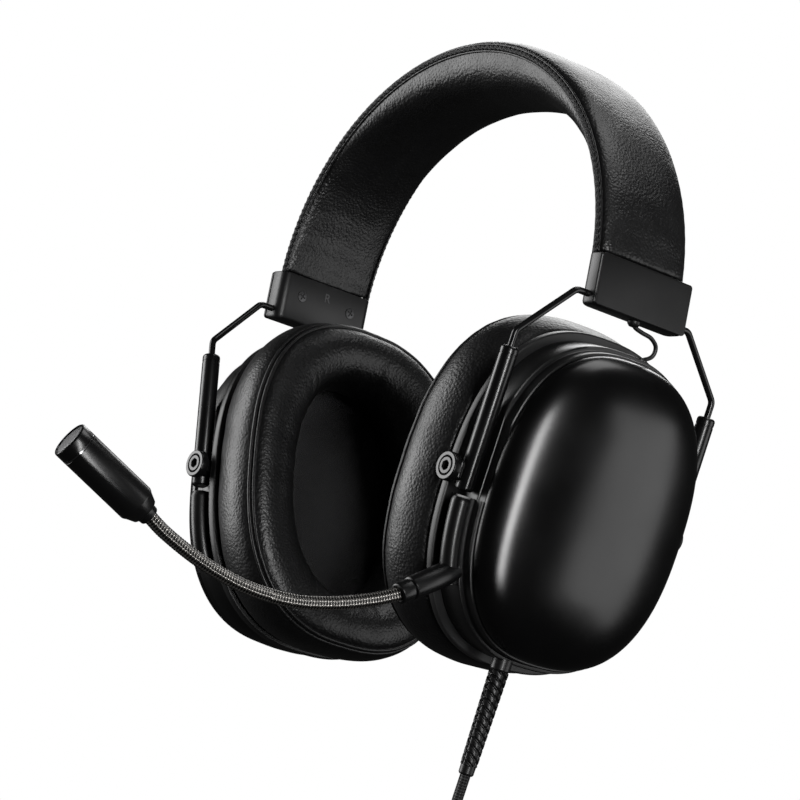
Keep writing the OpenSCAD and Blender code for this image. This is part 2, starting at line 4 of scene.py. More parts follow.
import bmesh
import bpy
from mathutils import Matrix, Vector, noise
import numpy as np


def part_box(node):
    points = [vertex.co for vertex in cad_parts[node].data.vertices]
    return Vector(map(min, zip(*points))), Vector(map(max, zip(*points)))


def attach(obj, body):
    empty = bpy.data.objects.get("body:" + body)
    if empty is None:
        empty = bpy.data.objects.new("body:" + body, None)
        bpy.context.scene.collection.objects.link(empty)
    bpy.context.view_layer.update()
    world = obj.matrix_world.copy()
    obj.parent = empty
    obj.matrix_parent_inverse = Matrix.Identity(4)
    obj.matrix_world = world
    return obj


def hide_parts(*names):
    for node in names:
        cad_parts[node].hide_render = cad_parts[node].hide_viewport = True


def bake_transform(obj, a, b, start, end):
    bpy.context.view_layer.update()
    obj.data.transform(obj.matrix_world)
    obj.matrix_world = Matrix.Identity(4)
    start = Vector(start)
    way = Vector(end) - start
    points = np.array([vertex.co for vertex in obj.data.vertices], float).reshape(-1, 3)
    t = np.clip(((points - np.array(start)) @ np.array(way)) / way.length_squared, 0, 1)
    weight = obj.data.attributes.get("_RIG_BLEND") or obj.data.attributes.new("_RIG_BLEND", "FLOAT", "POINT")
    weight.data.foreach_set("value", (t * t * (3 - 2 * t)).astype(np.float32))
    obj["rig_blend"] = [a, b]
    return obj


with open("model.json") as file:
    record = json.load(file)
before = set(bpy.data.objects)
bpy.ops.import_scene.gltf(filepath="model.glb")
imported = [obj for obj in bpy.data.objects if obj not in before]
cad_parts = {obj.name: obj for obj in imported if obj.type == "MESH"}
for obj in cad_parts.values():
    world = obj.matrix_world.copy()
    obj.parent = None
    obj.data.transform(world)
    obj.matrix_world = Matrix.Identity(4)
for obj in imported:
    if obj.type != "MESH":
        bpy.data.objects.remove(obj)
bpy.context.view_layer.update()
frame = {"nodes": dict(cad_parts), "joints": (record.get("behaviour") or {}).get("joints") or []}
scene = bpy.context.scene
mm = 0.001
sides = ("left", "right")

# places read from the frame; cup coordinates are outwards, front to rear, and up along the sleeves
joints = {j["name"]: j for j in frame["joints"]}
cupUp = -Vector(joints["left_slide"]["axis"]).normalized()
cupOut = Vector((cupUp.z, 0, -cupUp.x))
leftCup = Matrix((cupOut, Vector((0, 1, 0)), cupUp)).transposed().to_4x4()
leftCup.translation = Vector(joints["left_tilt"]["pos_m"])
mirrorX = Matrix.Diagonal((-1, 1, 1, 1))
cupOf = {"left": leftCup, "right": mirrorX @ leftCup}
sideOf = {"left": Matrix.Identity(4), "right": mirrorX}
toCup = leftCup.inverted()


def cupExtent(node):
    points = [toCup @ v.co for v in frame["nodes"][node].data.vertices]
    low = Vector([min(p[i] for p in points) for i in range(3)])
    high = Vector([max(p[i] for p in points) for i in range(3)])
    return low, high


# camera
view = {"azimuth": 51.38, "elevation": -9.75, "roll": 11.2, "lens": 159.07,
        "place": (0.89814, -0.73829, -0.30527)}


def makeCamera():
    azimuth, elevation, roll = (math.radians(view[k]) for k in ("azimuth", "elevation", "roll"))
    back = Vector((math.sin(azimuth) * math.cos(elevation), -math.cos(azimuth) * math.cos(elevation),
                   math.sin(elevation)))
    level = Vector((math.cos(azimuth), math.sin(azimuth), 0))
    upright = back.cross(level)
    right = level * math.cos(roll) + upright * math.sin(roll)
    top = upright * math.cos(roll) - level * math.sin(roll)
    data = bpy.data.cameras.new("camera")
    data.lens = view["lens"]
    data.sensor_width = 36
    data.clip_start = 0.05
    camera = bpy.data.objects.new("camera", data)
    camera.matrix_world = Matrix((right, top, back)).transposed().to_4x4()
    camera.matrix_world.translation = view["place"]
    scene.collection.objects.link(camera)
    scene.camera = camera


makeCamera()


# shapes that the pieces share
def edgesOf(verts):
    # each edge once, in the order of its verts
    return list(dict.fromkeys(e for v in verts for e in v.link_edges))


def wrapRings(bm, count, rings, place, lengths=None, capped=True):
    # a circle extruded ring by ring, each point then put where place(angle, ring) says
    start = bmesh.ops.create_circle(bm, cap_ends=capped, segments=count, radius=1)["verts"]
    ring = start
    made = list(start)
    edges = edgesOf(ring)
    for step in range(1, rings):
        grown = bmesh.ops.extrude_edge_only(bm, edges=edges)["geom"]
        ring = [g for g in grown if isinstance(g, bmesh.types.BMVert)]
        inRing = set(ring)
        edges = [g for g in grown if isinstance(g, bmesh.types.BMEdge) and inRing.issuperset(g.verts)]
        bmesh.ops.translate(bm, verts=ring, vec=(0, 0, 1))
        made += ring
    if capped:
        bmesh.ops.contextual_create(bm, geom=edges)
    spots = {v: (math.atan2(v.co.y, v.co.x), round(v.co.z)) for v in made}
    if lengths:
        layer = bm.loops.layers.uv.verify()
        for face in dict.fromkeys(f for v in made for f in v.link_faces):
            around = [spots[loop.vert][0] / math.tau % 1 for loop in face.loops]
            wraps = max(around) - min(around) > 0.5
            for loop, share in zip(face.loops, around):
                share += 1 if wraps and share < 0.5 else 0
                loop[layer].uv = (share, lengths[spots[loop.vert][1]])
    for v, (angle, step) in spots.items():
        v.co = place(angle, step)
    return spots


def lathe(bm, profile, turn=Matrix.Identity(4), count=48):
    def place(angle, step):
        radius, height = profile[step]
        return turn @ Vector((radius * math.cos(angle), radius * math.sin(angle), height))
    wrapRings(bm, count, len(profile), place)


def pointing(place, direction):
    turn = Vector(direction).to_track_quat("Z", "Y").to_matrix().to_4x4()
    turn.translation = place
    return turn


def smoothThrough(points, per):
    # a smooth curve through given points
    last = len(points) - 1
    made = []
    for k in range(per * last + 1):
        i = min(k // per, last - 1)
        f = k / per - i
        a, b, c, d = (Vector(points[j]) for j in (max(i - 1, 0), i, i + 1, min(i + 2, last)))
        made.append(0.5 * (2 * b + (c - a) * f + (2 * a - 5 * b + 4 * c - d) * f * f
                           + (3 * b - a - 3 * c + d) * f ** 3))
    return made


def spacedOut(points, step):
    lengths = [0.0]
    for a, b in zip(points, points[1:]):
        lengths.append(lengths[-1] + (b - a).length)
    count = max(2, round(lengths[-1] / step))
    made, i = [], 0
    for k in range(count + 1):
        at = lengths[-1] * k / count
        while i < len(points) - 2 and lengths[i + 1] < at:
            i += 1
        share = (at - lengths[i]) / max(lengths[i + 1] - lengths[i], 1e-12)
        made.append(points[i].lerp(points[i + 1], min(max(share, 0), 1)))
    return made


def lengthsOf(path):
    made = [0.0]
    for a, b in zip(path, path[1:]):
        made.append(made[-1] + (b - a).length)
    return made


def sweep(bm, path, count, radius, first=(0, 1, 0), looped=False):
    # a round section carried along a path without twisting
    ends = len(path) - 1
    frames = []
    across = Vector(first)
    for k, point in enumerate(path):
        before = path[ends - 1] if looped and k == 0 else path[max(k - 1, 0)]
        after = path[1] if looped and k == ends else path[min(k + 1, ends)]
        ahead = (after - before).normalized()
        across = (across - ahead * across.dot(ahead)).normalized()
        frames.append((point, across, ahead.cross(across)))
    size = radius if callable(radius) else lambda angle, k: radius

    def place(angle, k):
        point, across, aside = frames[k]
        r = size(angle, k)
        return point + across * (math.cos(angle) * r) + aside * (math.sin(angle) * r)
    wrapRings(bm, count, len(path), place, lengthsOf(path), capped=not looped)


def roundedCorners(points, radius, steps=7):
    # straight stretches joined by arcs
    made = [Vector(points[0])]
    for a, b, c in zip(points, points[1:], points[2:]):
        a, b, c = Vector(a), Vector(b), Vector(c)
        back, ahead = (a - b).normalized(), (c - b).normalized()
        half = back.angle(ahead) / 2
        cut = radius / math.tan(half)
        middle = b + (back + ahead).normalized() * (radius / math.sin(half))
        fromPoint, toPoint = b + back * cut - middle, b + ahead * cut - middle
        for k in range(steps + 1):
            made.append(middle + fromPoint.slerp(toPoint, k / steps).normalized() * radius)
    made.append(Vector(points[-1]))
    return made


def ovalPoint(angle, a, b, fullness=2.5):
    reach = (abs(math.cos(angle) / a) ** fullness + abs(math.sin(angle) / b) ** fullness) ** (-1 / fullness)
    return reach * math.cos(angle), reach * math.sin(angle)


def eased(t):
    t = min(max(t, 0), 1)
    return t * t * (3 - 2 * t)


def addPiece(bm, name, material, body=None, stands=(), crease=35, turn=None):
    if turn is not None:
        bmesh.ops.transform(bm, matrix=turn, verts=bm.verts)
    bmesh.ops.remove_doubles(bm, verts=bm.verts, dist=0.001 * mm)
    bmesh.ops.recalc_face_normals(bm, faces=bm.faces)
    mesh = bpy.data.meshes.new(name)
    bm.to_mesh(mesh)
    bm.free()
    mesh.materials.append(material)
    mesh.polygons.foreach_set("use_smooth", [True] * len(mesh.polygons))
    mesh.set_sharp_from_angle(angle=math.radians(crease))
    piece = bpy.data.objects.new(name, mesh)
    scene.collection.objects.link(piece)
    if body:
        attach(piece, body)
    if stands:
        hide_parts(*stands)
    return piece


# materials
def startMaterial(name, colour, roughness, metallic=0.0, specular=0.5):
    material = bpy.data.materials.new(name)
    material.use_nodes = True
    shader = material.node_tree.nodes["Principled BSDF"]
    shader.inputs["Base Color"].default_value = (*colour, 1)
    shader.inputs["Roughness"].default_value = roughness
    shader.inputs["Metallic"].default_value = metallic
    shader.inputs["Specular IOR Level"].default_value = specular
    return material, material.node_tree, shader


def addNode(tree, kind, inputs=None, **settings):
    made = tree.nodes.new(kind)
    for key, value in settings.items():
        setattr(made, key, value)
    for key, value in (inputs or {}).items():
        made.inputs[key].default_value = value
    return made


def noiseOf(tree, where, scale, detail=2):
    made = addNode(tree, "ShaderNodeTexNoise", {"Scale": scale, "Detail": detail})
    tree.links.new(where, made.inputs["Vector"])
    return made.outputs["Fac"]


def mathOf(tree, operation, a, b=None):
    made = addNode(tree, "ShaderNodeMath", operation=operation)
    for socket, value in zip(made.inputs, (a, b)):
        if isinstance(value, (int, float)):
            socket.default_value = value
        elif value is not None:
            tree.links.new(value, socket)
    return made.outputs[0]


def spread(tree, value, low, high, fromLow=0.3, fromHigh=0.7):
    made = addNode(tree, "ShaderNodeMapRange", {"From Min": fromLow, "From Max": fromHigh, "To Min": low,
                                               "To Max": high})
    tree.links.new(value, made.inputs["Value"])
    return made.outputs["Result"]


def tint(tree, shader, value, dark, light):
    made = addNode(tree, "ShaderNodeMix", data_type="RGBA")
    made.inputs["A"].default_value = (*dark, 1)
    made.inputs["B"].default_value = (*light, 1)
    tree.links.new(value, made.inputs["Factor"])
    tree.links.new(made.outputs["Result"], shader.inputs["Base Color"])


def raiseBy(tree, shader, height, distance, strength=1.0):
    made = addNode(tree, "ShaderNodeBump", {"Distance": distance, "Strength": strength})
    tree.links.new(height, made.inputs["Height"])
    tree.links.new(made.outputs["Normal"], shader.inputs["Normal"])


def objectPlace(tree):
    return addNode(tree, "ShaderNodeTexCoord").outputs["Object"]


leatherLook = {"cells": 1150, "folds": 420, "depth": 0.15 * mm, "smoothest": 0.36, "roughest": 0.46}


def makeLeather(name, dark, light, depth=1.0):
    material, tree, shader = startMaterial(name, dark, 0.48)
    where = objectPlace(tree)
    cells = addNode(tree, "ShaderNodeTexVoronoi", {"Scale": leatherLook["cells"], "Smoothness": 0.7},
                    feature="SMOOTH_F1")
    tree.links.new(where, cells.inputs["Vector"])
    folds = noiseOf(tree, where, leatherLook["folds"], 4)
    pebbles = mathOf(tree, "MULTIPLY", cells.outputs["Distance"], -1.0)
    grain = mathOf(tree, "ADD", pebbles, mathOf(tree, "MULTIPLY", folds, 0.45))
    raiseBy(tree, shader, grain, leatherLook["depth"] * depth)
    wear = noiseOf(tree, where, 60, 5)
    tree.links.new(spread(tree, wear, leatherLook["smoothest"], leatherLook["roughest"]),
                   shader.inputs["Roughness"])
    tint(tree, shader, spread(tree, folds, 0, 1), dark, light)
    return material


def makePlastic(name, dark, light, roughness, grain=3200, depth=0.006 * mm, metallic=0.0, specular=0.5):
    # moulded plastic and paint: a fine texture, faint clouds in the gloss, a little lighter in places
    material, tree, shader = startMaterial(name, dark, roughness, metallic, specular)
    where = objectPlace(tree)
    fine = noiseOf(tree, where, grain, 3)
    clouds = noiseOf(tree, where, 45, 4)
    raiseBy(tree, shader, fine, depth)
    tree.links.new(spread(tree, clouds, roughness * 0.9, roughness * 1.12), shader.inputs["Roughness"])
    tint(tree, shader, spread(tree, clouds, 0, 1), dark, light)
    return material


def makeMetal(name, dark, light, roughness, along="X", lines=900, depth=0.004 * mm):
    # drawn or turned metal: fine lines one way, with stains in its gloss
    material, tree, shader = startMaterial(name, dark, roughness, 1.0)
    stretch = addNode(tree, "ShaderNodeMapping")
    stretch.inputs["Scale"].default_value = [0.04 if along == a else 1 for a in "XYZ"]
    tree.links.new(objectPlace(tree), stretch.inputs["Vector"])
    scratches = noiseOf(tree, stretch.outputs["Vector"], lines, 4)
    stains = noiseOf(tree, objectPlace(tree), 120, 4)
    raiseBy(tree, shader, scratches, depth)
    tree.links.new(spread(tree, stains, roughness * 0.8, roughness * 1.3), shader.inputs["Roughness"])
    tint(tree, shader, spread(tree, scratches, 0, 1), dark, light)
    return material


def makeBraid(name, dark, light, roughness, metallic, around, pitch, depth):
    # strands that cross over and under, following the piece's own map: share round it, and length along it
    material, tree, shader = startMaterial(name, dark, roughness, metallic)
    split = addNode(tree, "ShaderNodeSeparateXYZ")
    tree.links.new(addNode(tree, "ShaderNodeTexCoord").outputs["UV"], split.inputs["Vector"])
    turn = mathOf(tree, "MULTIPLY", split.outputs["X"], around * math.tau)
    run = mathOf(tree, "MULTIPLY", split.outputs["Y"], math.tau / pitch)
    oneWay = mathOf(tree, "SINE", mathOf(tree, "ADD", turn, run))
    otherWay = mathOf(tree, "SINE", mathOf(tree, "SUBTRACT", turn, run))
    weave = mathOf(tree, "MULTIPLY", oneWay, otherWay)
    raiseBy(tree, shader, weave, depth)
    tint(tree, shader, spread(tree, weave, 0, 1, -0.6, 0.8), dark, light)
    tree.links.new(spread(tree, weave, roughness * 1.3, roughness * 0.85, -1, 1),
                   shader.inputs["Roughness"])
    return material


def makeMesh(name, dark, light, roughness, metallic, pitch, depth, diagonal=True):
    # woven cloth or wire: two crossing sets of threads with a hole between them
    material, tree, shader = startMaterial(name, dark, roughness, metallic)
    split = addNode(tree, "ShaderNodeSeparateXYZ")
    tree.links.new(objectPlace(tree), split.inputs["Vector"])
    a, b = split.outputs["Y"], split.outputs["Z"]
    if diagonal:
        a, b = mathOf(tree, "ADD", a, b), mathOf(tree, "SUBTRACT", a, b)
    threads = [mathOf(tree, "ABSOLUTE", mathOf(tree, "SINE", mathOf(tree, "MULTIPLY", s, math.pi / pitch)))
               for s in (a, b)]
    weave = mathOf(tree, "MAXIMUM", *threads)
    raiseBy(tree, shader, weave, depth)
    tint(tree, shader, spread(tree, weave, 0, 1, 0.6, 1.0), dark, light)
    return material


def makeBoard(name):
    material, tree, shader = startMaterial(name, (0.02, 0.12, 0.05), 0.35)
    where = objectPlace(tree)
    cells = addNode(tree, "ShaderNodeTexVoronoi", {"Scale": 260}, feature="DISTANCE_TO_EDGE",
                    distance="EUCLIDEAN")
    tree.links.new(where, cells.inputs["Vector"])
    tracks = spread(tree, cells.outputs["Distance"], 1, 0, 0.04, 0.07)
    tint(tree, shader, tracks, (0.012, 0.09, 0.035), (0.03, 0.2, 0.07))
    raiseBy(tree, shader, tracks, 0.03 * mm)
    return material


bandLeather = makeLeather("band leather", (0.0028, 0.0028, 0.003), (0.005, 0.005, 0.0053))
cushionLeather = makeLeather("cushion leather", (0.0026, 0.0026, 0.0028), (0.0046, 0.0046, 0.005), 0.85)
pipingLeather = makeLeather("piping leather", (0.004, 0.004, 0.0042), (0.007, 0.007, 0.0074), 0.5)
blockPlastic = makePlastic("block plastic", (0.006, 0.006, 0.0063), (0.0075, 0.0075, 0.008), 0.38)
facePlastic = makePlastic("face plate", (0.004, 0.004, 0.0042), (0.005, 0.005, 0.0053), 0.42, specular=0.3)
sleevePlastic = makePlastic("sleeve plastic", (0.003, 0.003, 0.0032), (0.004, 0.004, 0.0043), 0.27)
housingPlastic = makePlastic("housing plastic", (0.0035, 0.0035, 0.0037), (0.0048, 0.0048, 0.005), 0.34)
domePaint = makePlastic("dome paint", (0.0012, 0.0012, 0.0013), (0.0018, 0.0018, 0.0019), 0.24, 5200,
                        0.002 * mm)
trimPlastic = makePlastic("trim plastic", (0.010, 0.010, 0.0103), (0.014, 0.014, 0.0143), 0.44)
innerPlastic = makePlastic("inner plastic", (0.03, 0.03, 0.031), (0.04, 0.04, 0.041), 0.55)
blackSteel = makePlastic("black steel", (0.006, 0.006, 0.0062), (0.009, 0.009, 0.0092), 0.22, 2400,
                         0.003 * mm, 0.2)
screwSteel = makePlastic("screw steel", (0.06, 0.06, 0.062), (0.085, 0.085, 0.087), 0.34, 2400, 0.004 * mm,
                         0.8)
markPaint = makePlastic("side mark", (0.07, 0.07, 0.072), (0.08, 0.08, 0.082), 0.5)
zincSteel = makeMetal("zinc steel", (0.5, 0.5, 0.51), (0.66, 0.66, 0.67), 0.3)
springSteel = makeMetal("spring steel", (0.3, 0.3, 0.31), (0.42, 0.42, 0.43), 0.32, "Z")
magnetSteel = makeMetal("magnet steel", (0.42, 0.42, 0.44), (0.55, 0.55, 0.57), 0.28)
diaphragmFilm = makePlastic("diaphragm film", (0.26, 0.2, 0.13), (0.34, 0.27, 0.18), 0.3)
earMesh = makeMesh("ear mesh", (0.0008, 0.0008, 0.0008), (0.05, 0.05, 0.052), 0.6, 0.0, 0.62 * mm,
                   0.25 * mm)
grilleMesh = makeMesh("grille mesh", (0.05, 0.05, 0.05), (0.19, 0.19, 0.194), 0.45, 0.6, 0.5 * mm,
                      0.06 * mm, False)
cordBraid = makeBraid("cord braid", (0.003, 0.003, 0.0032), (0.06, 0.06, 0.061), 0.5, 0.0, 5, 1.9 * mm,
                      0.3 * mm)
neckBraid = makeBraid("neck braid", (0.004, 0.004, 0.004), (0.26, 0.25, 0.235), 0.26, 0.8, 4, 1.9 * mm,
                      0.12 * mm)
ropeThread = makeBraid("rope thread", (0.003, 0.003, 0.0032), (0.045, 0.045, 0.046), 0.42, 0.0, 6, 0.5 * mm,
                       0.06 * mm)
leadRubber = makePlastic("lead rubber", (0.005, 0.005, 0.0052), (0.007, 0.007, 0.0072), 0.40, 1800,
                         0.01 * mm)
micPaint = makePlastic("mic paint", (0.004, 0.004, 0.0042), (0.006, 0.006, 0.0062), 0.28, 4200, 0.003 * mm,
                       0.1)
ringSteel = makePlastic("ring steel", (0.28, 0.28, 0.285), (0.36, 0.36, 0.365), 0.2, 2400, 0.002 * mm, 1.0)
boardGreen = makeBoard("board green")
jackGold = makeMetal("jack gold", (0.72, 0.5, 0.2), (0.85, 0.62, 0.28), 0.2, "Z")
print("materials ready")

# the lead: its route from the strain relief's tip, then the coil's turns and the tail, as in the CAD model
lead = {"diameter": 3.5 * mm, "length": 2.0, "reliefWay": 5 * mm, "reliefY": -8 * mm,
        "reliefTop": -53.7 * mm, "reliefLength": 37 * mm, "turnRadius": 19.5 * mm, "slots": 4,
        "startAngle": 15, "endAngle": -98,
        "turns": 15, "sides": 12, "step": 1.6 * mm}
leadRoute = [(0, 0, 0), (-1, 0, -5), (-2, 0, -10.2), (-2.7, 0, -15), (-3, 0, -20), (-3, 0, -24)]
coilAt = (-22.5, 0, -42)
tailRoute = [(-3, 0, -24.5), (-8, 0, -27), (-11.5, 0, -31), (-13, 0, -36), (-13, 0, -41)]
leadExit = leftCup @ Vector((lead["reliefWay"], lead["reliefY"], lead["reliefTop"]))
leadFrom = leftCup @ Vector((lead["reliefWay"], lead["reliefY"], lead["reliefTop"] - lead["reliefLength"]))
coilMiddle = leadFrom + Vector(coilAt) * mm
plugTop = coilMiddle + Vector(tailRoute[-1]) * mm


def coilTurns():
    # turns fill a square bundle, column by column, so that both ends leave from its outside
    d, n = lead["diameter"], lead["slots"]
    radii = [lead["turnRadius"] + (n - 1 - 2 * k) * d / 2 for k in range(n)]
    slots = []
    for column in range(n):
        aside = (column - (n - 1) / 2) * d
        slots += [(r, aside) for r in (radii if column % 2 == 0 else radii[::-1])]
    sweepAngle = math.tau * lead["turns"] + math.radians(lead["startAngle"] - lead["endAngle"])
    steps = 40 * (lead["turns"] + 1)
    made = []
    for k in range(steps + 1):
        at = k / steps * (len(slots) - 1)
        i = min(int(at), len(slots) - 2)
        share = eased((at - i - 0.7) / 0.3)
        radius = slots[i][0] + (slots[i + 1][0] - slots[i][0]) * share
        aside = slots[i][1] + (slots[i + 1][1] - slots[i][1]) * share
        angle = math.radians(lead["startAngle"]) - sweepAngle * k / steps
        made.append(coilMiddle + Vector((radius * math.cos(angle), aside, radius * math.sin(angle))))
    return made


def makeLead():
    start = [leadFrom + cupUp * (14 * mm), leadFrom + cupUp * (7 * mm)]
    route = start + [leadFrom + Vector(p) * mm for p in leadRoute[:-1]]
    tail = [coilMiddle + Vector(p) * mm for p in tailRoute[1:]]
    line = smoothThrough(route + coilTurns() + tail + [plugTop - Vector((0, 0, 4 * mm))], 3)
    path = spacedOut(line, lead["step"])
    bm = bmesh.new()
    sweep(bm, path, lead["sides"], lead["diameter"] / 2)
    cord = addPiece(bm, "cord", cordBraid, "left_cup",
                    ("cord_lead", "cord_coil", "cord_tail"), 60)
    print("lead is", round(lengthsOf(path)[-1], 3), "m")
    return cord, path


reliefLook = {"radius": 3.3 * mm, "core": 2.45 * mm, "taper": 0.6 * mm, "pitch": 2.55 * mm, "starts": 4,
              "slot": 0.75 * mm, "edge": 0.3 * mm, "collar": 4.2 * mm, "tip": 3.2 * mm, "rings": 190,
              "sides": 72}


def reliefHeight(angle, along):
    # slanted lugs in four columns along a tapering sleeve
    look = reliefLook
    slant = (along / look["pitch"] + angle / math.tau * look["starts"]) % 1
    gap = min(slant, 1 - slant) * look["pitch"]
    column = abs((angle / math.tau * 4 + 0.5) % 1 - 0.5) * look["radius"] * math.tau / 4
    rib = eased((gap - look["slot"] / 2) / look["edge"] + 0.5)
    return rib * eased((column - look["slot"] / 3) / look["edge"] + 0.5)


def makeRelief():
    look = reliefLook
    length = lead["reliefLength"]
    top = leadExit + cupUp * (1.5 * mm)
    total = length + 1.5 * mm
    path = [top - cupUp * (total * k / look["rings"]) for k in range(look["rings"] + 1)]

    def radius(angle, k):
        along = total * k / look["rings"]
        outer = look["radius"] - look["taper"] * along / total
        if along < look["collar"]:
            return outer - 0.4 * mm * eased((0.6 * mm - (look["collar"] - along)) / (0.6 * mm))
        if along > total - look["tip"]:
            return outer - 0.25 * mm - 0.35 * mm * eased((along - total + 0.5 * mm) / (0.5 * mm))
        return look["core"] - 0.2 * mm + (outer - look["core"] + 0.2 * mm) * reliefHeight(angle, along)
    bm = bmesh.new()
    sweep(bm, path, look["sides"], radius)
    return addPiece(bm, "cord_relief", leadRubber, "left_cup", ("strain_relief",), 50)


tieLook = {"half": 7.75 * mm, "thick": 0.9 * mm, "width": 7 * mm, "lean": -15, "buckle": 2.4 * mm}


def makeTie():
    look = tieLook
    lean = math.radians(look["lean"])
    outwards = Vector((math.sin(lean), 0, math.cos(lean)))
    turn = Matrix((Vector((0, 1, 0)), outwards, Vector((0, 1, 0)).cross(outwards))).transposed().to_4x4()
    turn.translation = coilMiddle + outwards * lead["turnRadius"]
    half, thick, width = look["half"], look["thick"], look["width"]
    profile = [(half, -0.5), (half + thick * 0.8, -0.5), (half + thick, -0.44), (half + thick, 0.44),
               (half + thick * 0.8, 0.5), (half, 0.5), (half, -0.5)]
    bm = bmesh.new()

    def place(angle, k):
        reach, across = profile[k]
        x, y = ovalPoint(angle, reach, reach, 5)
        return Vector((x, y, across * width))
    wrapRings(bm, 72, len(profile), place, capped=False)
    buckle = bmesh.ops.create_cube(bm, size=1)["verts"]
    bmesh.ops.scale(bm, vec=(look["buckle"] * 2, look["buckle"] * 0.7, width * 1.15), verts=buckle)
    bmesh.ops.translate(bm, vec=(0, half + thick, 0), verts=buckle)
    bmesh.ops.bevel(bm, geom=edgesOf(buckle), offset=0.5 * mm,
                    affect="EDGES",
                    segments=3, profile=0.5, material=-1)
    return addPiece(bm, "cord_tie", leadRubber, "left_cup", ("coil_tie",), 40, turn)


plugLook = {"relief": 9 * mm, "body": 22 * mm, "radius": 4 * mm, "jack": 14 * mm, "jackRadius": 1.75 * mm,
            "grips": 5, "gripPitch": 2.2 * mm}


def makePlug():
    look = plugLook
    down = pointing(plugTop, (0, 0, -1))
    r, start, end = look["radius"], look["relief"], look["relief"] + look["body"]
    bm = bmesh.new()
    profile = [(0, 0), (2.1 * mm, 0), (2.4 * mm, 0.3 * mm)]
    for k in range(4):
        base = (1.2 + k * 1.9) * mm
        profile += [(2.45 * mm, base), (2.2 * mm, base + 0.25 * mm), (2.2 * mm, base + 0.7 * mm),
                    (2.5 * mm, base + 0.95 * mm)]
    profile += [(2.55 * mm, start - 0.1 * mm), (r - 0.5 * mm, start), (r, start + 0.9 * mm)]
    for k in range(look["grips"]):
        base = start + 4 * mm + k * look["gripPitch"]
        profile += [(r, base), (r - 0.3 * mm, base + 0.3 * mm), (r - 0.3 * mm, base + 0.9 * mm),
                    (r, base + 1.2 * mm)]
    profile += [(r, end - 0.8 * mm), (r - 0.6 * mm, end), (0, end)]
    lathe(bm, profile, down)
    body = addPiece(bm, "plug", leadRubber, "left_cup", ("plug_body",), 40)
    bm = bmesh.new()
    j = look["jackRadius"]
    tip = end + look["jack"]
    profile = [(0, end - 1 * mm), (j, end - 1 * mm)]
    for at in (3.4, 6.2, 9.0):
        profile += [(j, end + (at - 0.3) * mm), (j - 0.08 * mm, end + (at - 0.3) * mm),
                    (j - 0.08 * mm, end + (at + 0.3) * mm), (j, end + (at + 0.3) * mm)]
    profile += [(j, tip - 3.2 * mm), (j - 0.55 * mm, tip - 2.7 * mm), (j - 0.15 * mm, tip - 1.8 * mm),
                (0.5 * mm, tip), (0, tip)]
    lathe(bm, profile, down, 32)
    jack = addPiece(bm, "plug_pin", jackGold, "left_cup", ("plug_jack",), 30)
    return body, jack


cordPiece, cordPath = makeLead()
reliefPiece = makeRelief()
tiePiece = makeTie()
plugPieces = makePlug()
print("lead, coil and plug done")

# ear cups: sizes in mm, in cup coordinates
shellLow, shellHigh = (c / mm for c in cupExtent("left_cup_housing"))
ringLow, ringHigh = (c / mm for c in cupExtent("left_trim_ring"))
domeLow, domeHigh = (c / mm for c in cupExtent("left_cup_dome"))
padLow, padHigh = (c / mm for c in cupExtent("left_ear_cushion"))
cup = {"a": shellHigh.y - 0.9, "b": (shellHigh.z - shellLow.z) / 2,
       "middle": (shellHigh.z + shellLow.z) / 2, "flat": 40.3, "pocket": -7.3, "rim": domeLow.x,
       "count": 240, "domeIn": 2.3}
cup["a"] = min(cup["a"], 42.8)


def shellPoint(angle, inset):
    # the shell's outline, with flat walls beside the sleeves and a ledge below them
    a, b, flat = cup["a"] - inset, cup["b"] - inset, cup["flat"] - inset * 0.3
    y, v = ovalPoint(angle, a, b)
    low = cup["pocket"] - cup["middle"]
    ledge = math.asin(low / cup["b"]) * 1.015
    step = math.tau / cup["count"]
    lean = math.asin(math.sin(angle))
    if abs(lean - ledge) <= step * 0.5:
        y, v = math.copysign(a * (1 - abs(low / b) ** 2.5) ** 0.4, y), low
    elif abs(lean - ledge - step) <= step * 0.5:
        y, v = math.copysign(flat, y), low
    elif lean > ledge:
        y = math.copysign(min(abs(y), flat), y)
    return y, v + cup["middle"]


def ovalWall(bm, profile, count=240, outline=None, capped=False):
    # a wall that follows an outline, from (outwards, inset) pairs
    def place(angle, k):
        w, inset = profile[k]
        y, v = outline(angle, inset)
        return Vector((w, y, v)) * mm
    wrapRings(bm, count, len(profile), place, capped=capped)


def ringPoint(angle, inset):
    y, v = ovalPoint(angle, ringHigh.y - inset, (ringHigh.z - ringLow.z) / 2 - inset)
    return y, v + cup["middle"]


def domeRing(angle, k):
    # the pillow: its outline draws in as a rounded oval towards one middle point
    share = cup["domeRings"][k]
    a = (cup["a"] - cup["domeIn"]) * share
    b = cup["b"] - cup["domeIn"]
    spine = b - (cup["a"] - cup["domeIn"])
    m = eased(share / 0.45)
    y, v = ovalPoint(angle, a, b * share * (1 - m) + (spine + a) * m, 2.15 + 0.35 * eased(share / 0.7))
    height = (domeHigh.x - cup["rim"]) * (1 - share ** 2) ** (1 / 2.2)
    return Vector((cup["rim"] + 0.15 + height * 0.99, y, v + cup["middle"])) * mm


def domeEdge(angle, inset):
    y, v = ovalPoint(angle, cup["a"] - inset, cup["b"] - inset)
    return y, v + cup["middle"]


beadLook = {"way": 4.2, "radius": 3.2, "out": 0.9, "from": -7.9, "to": -34}


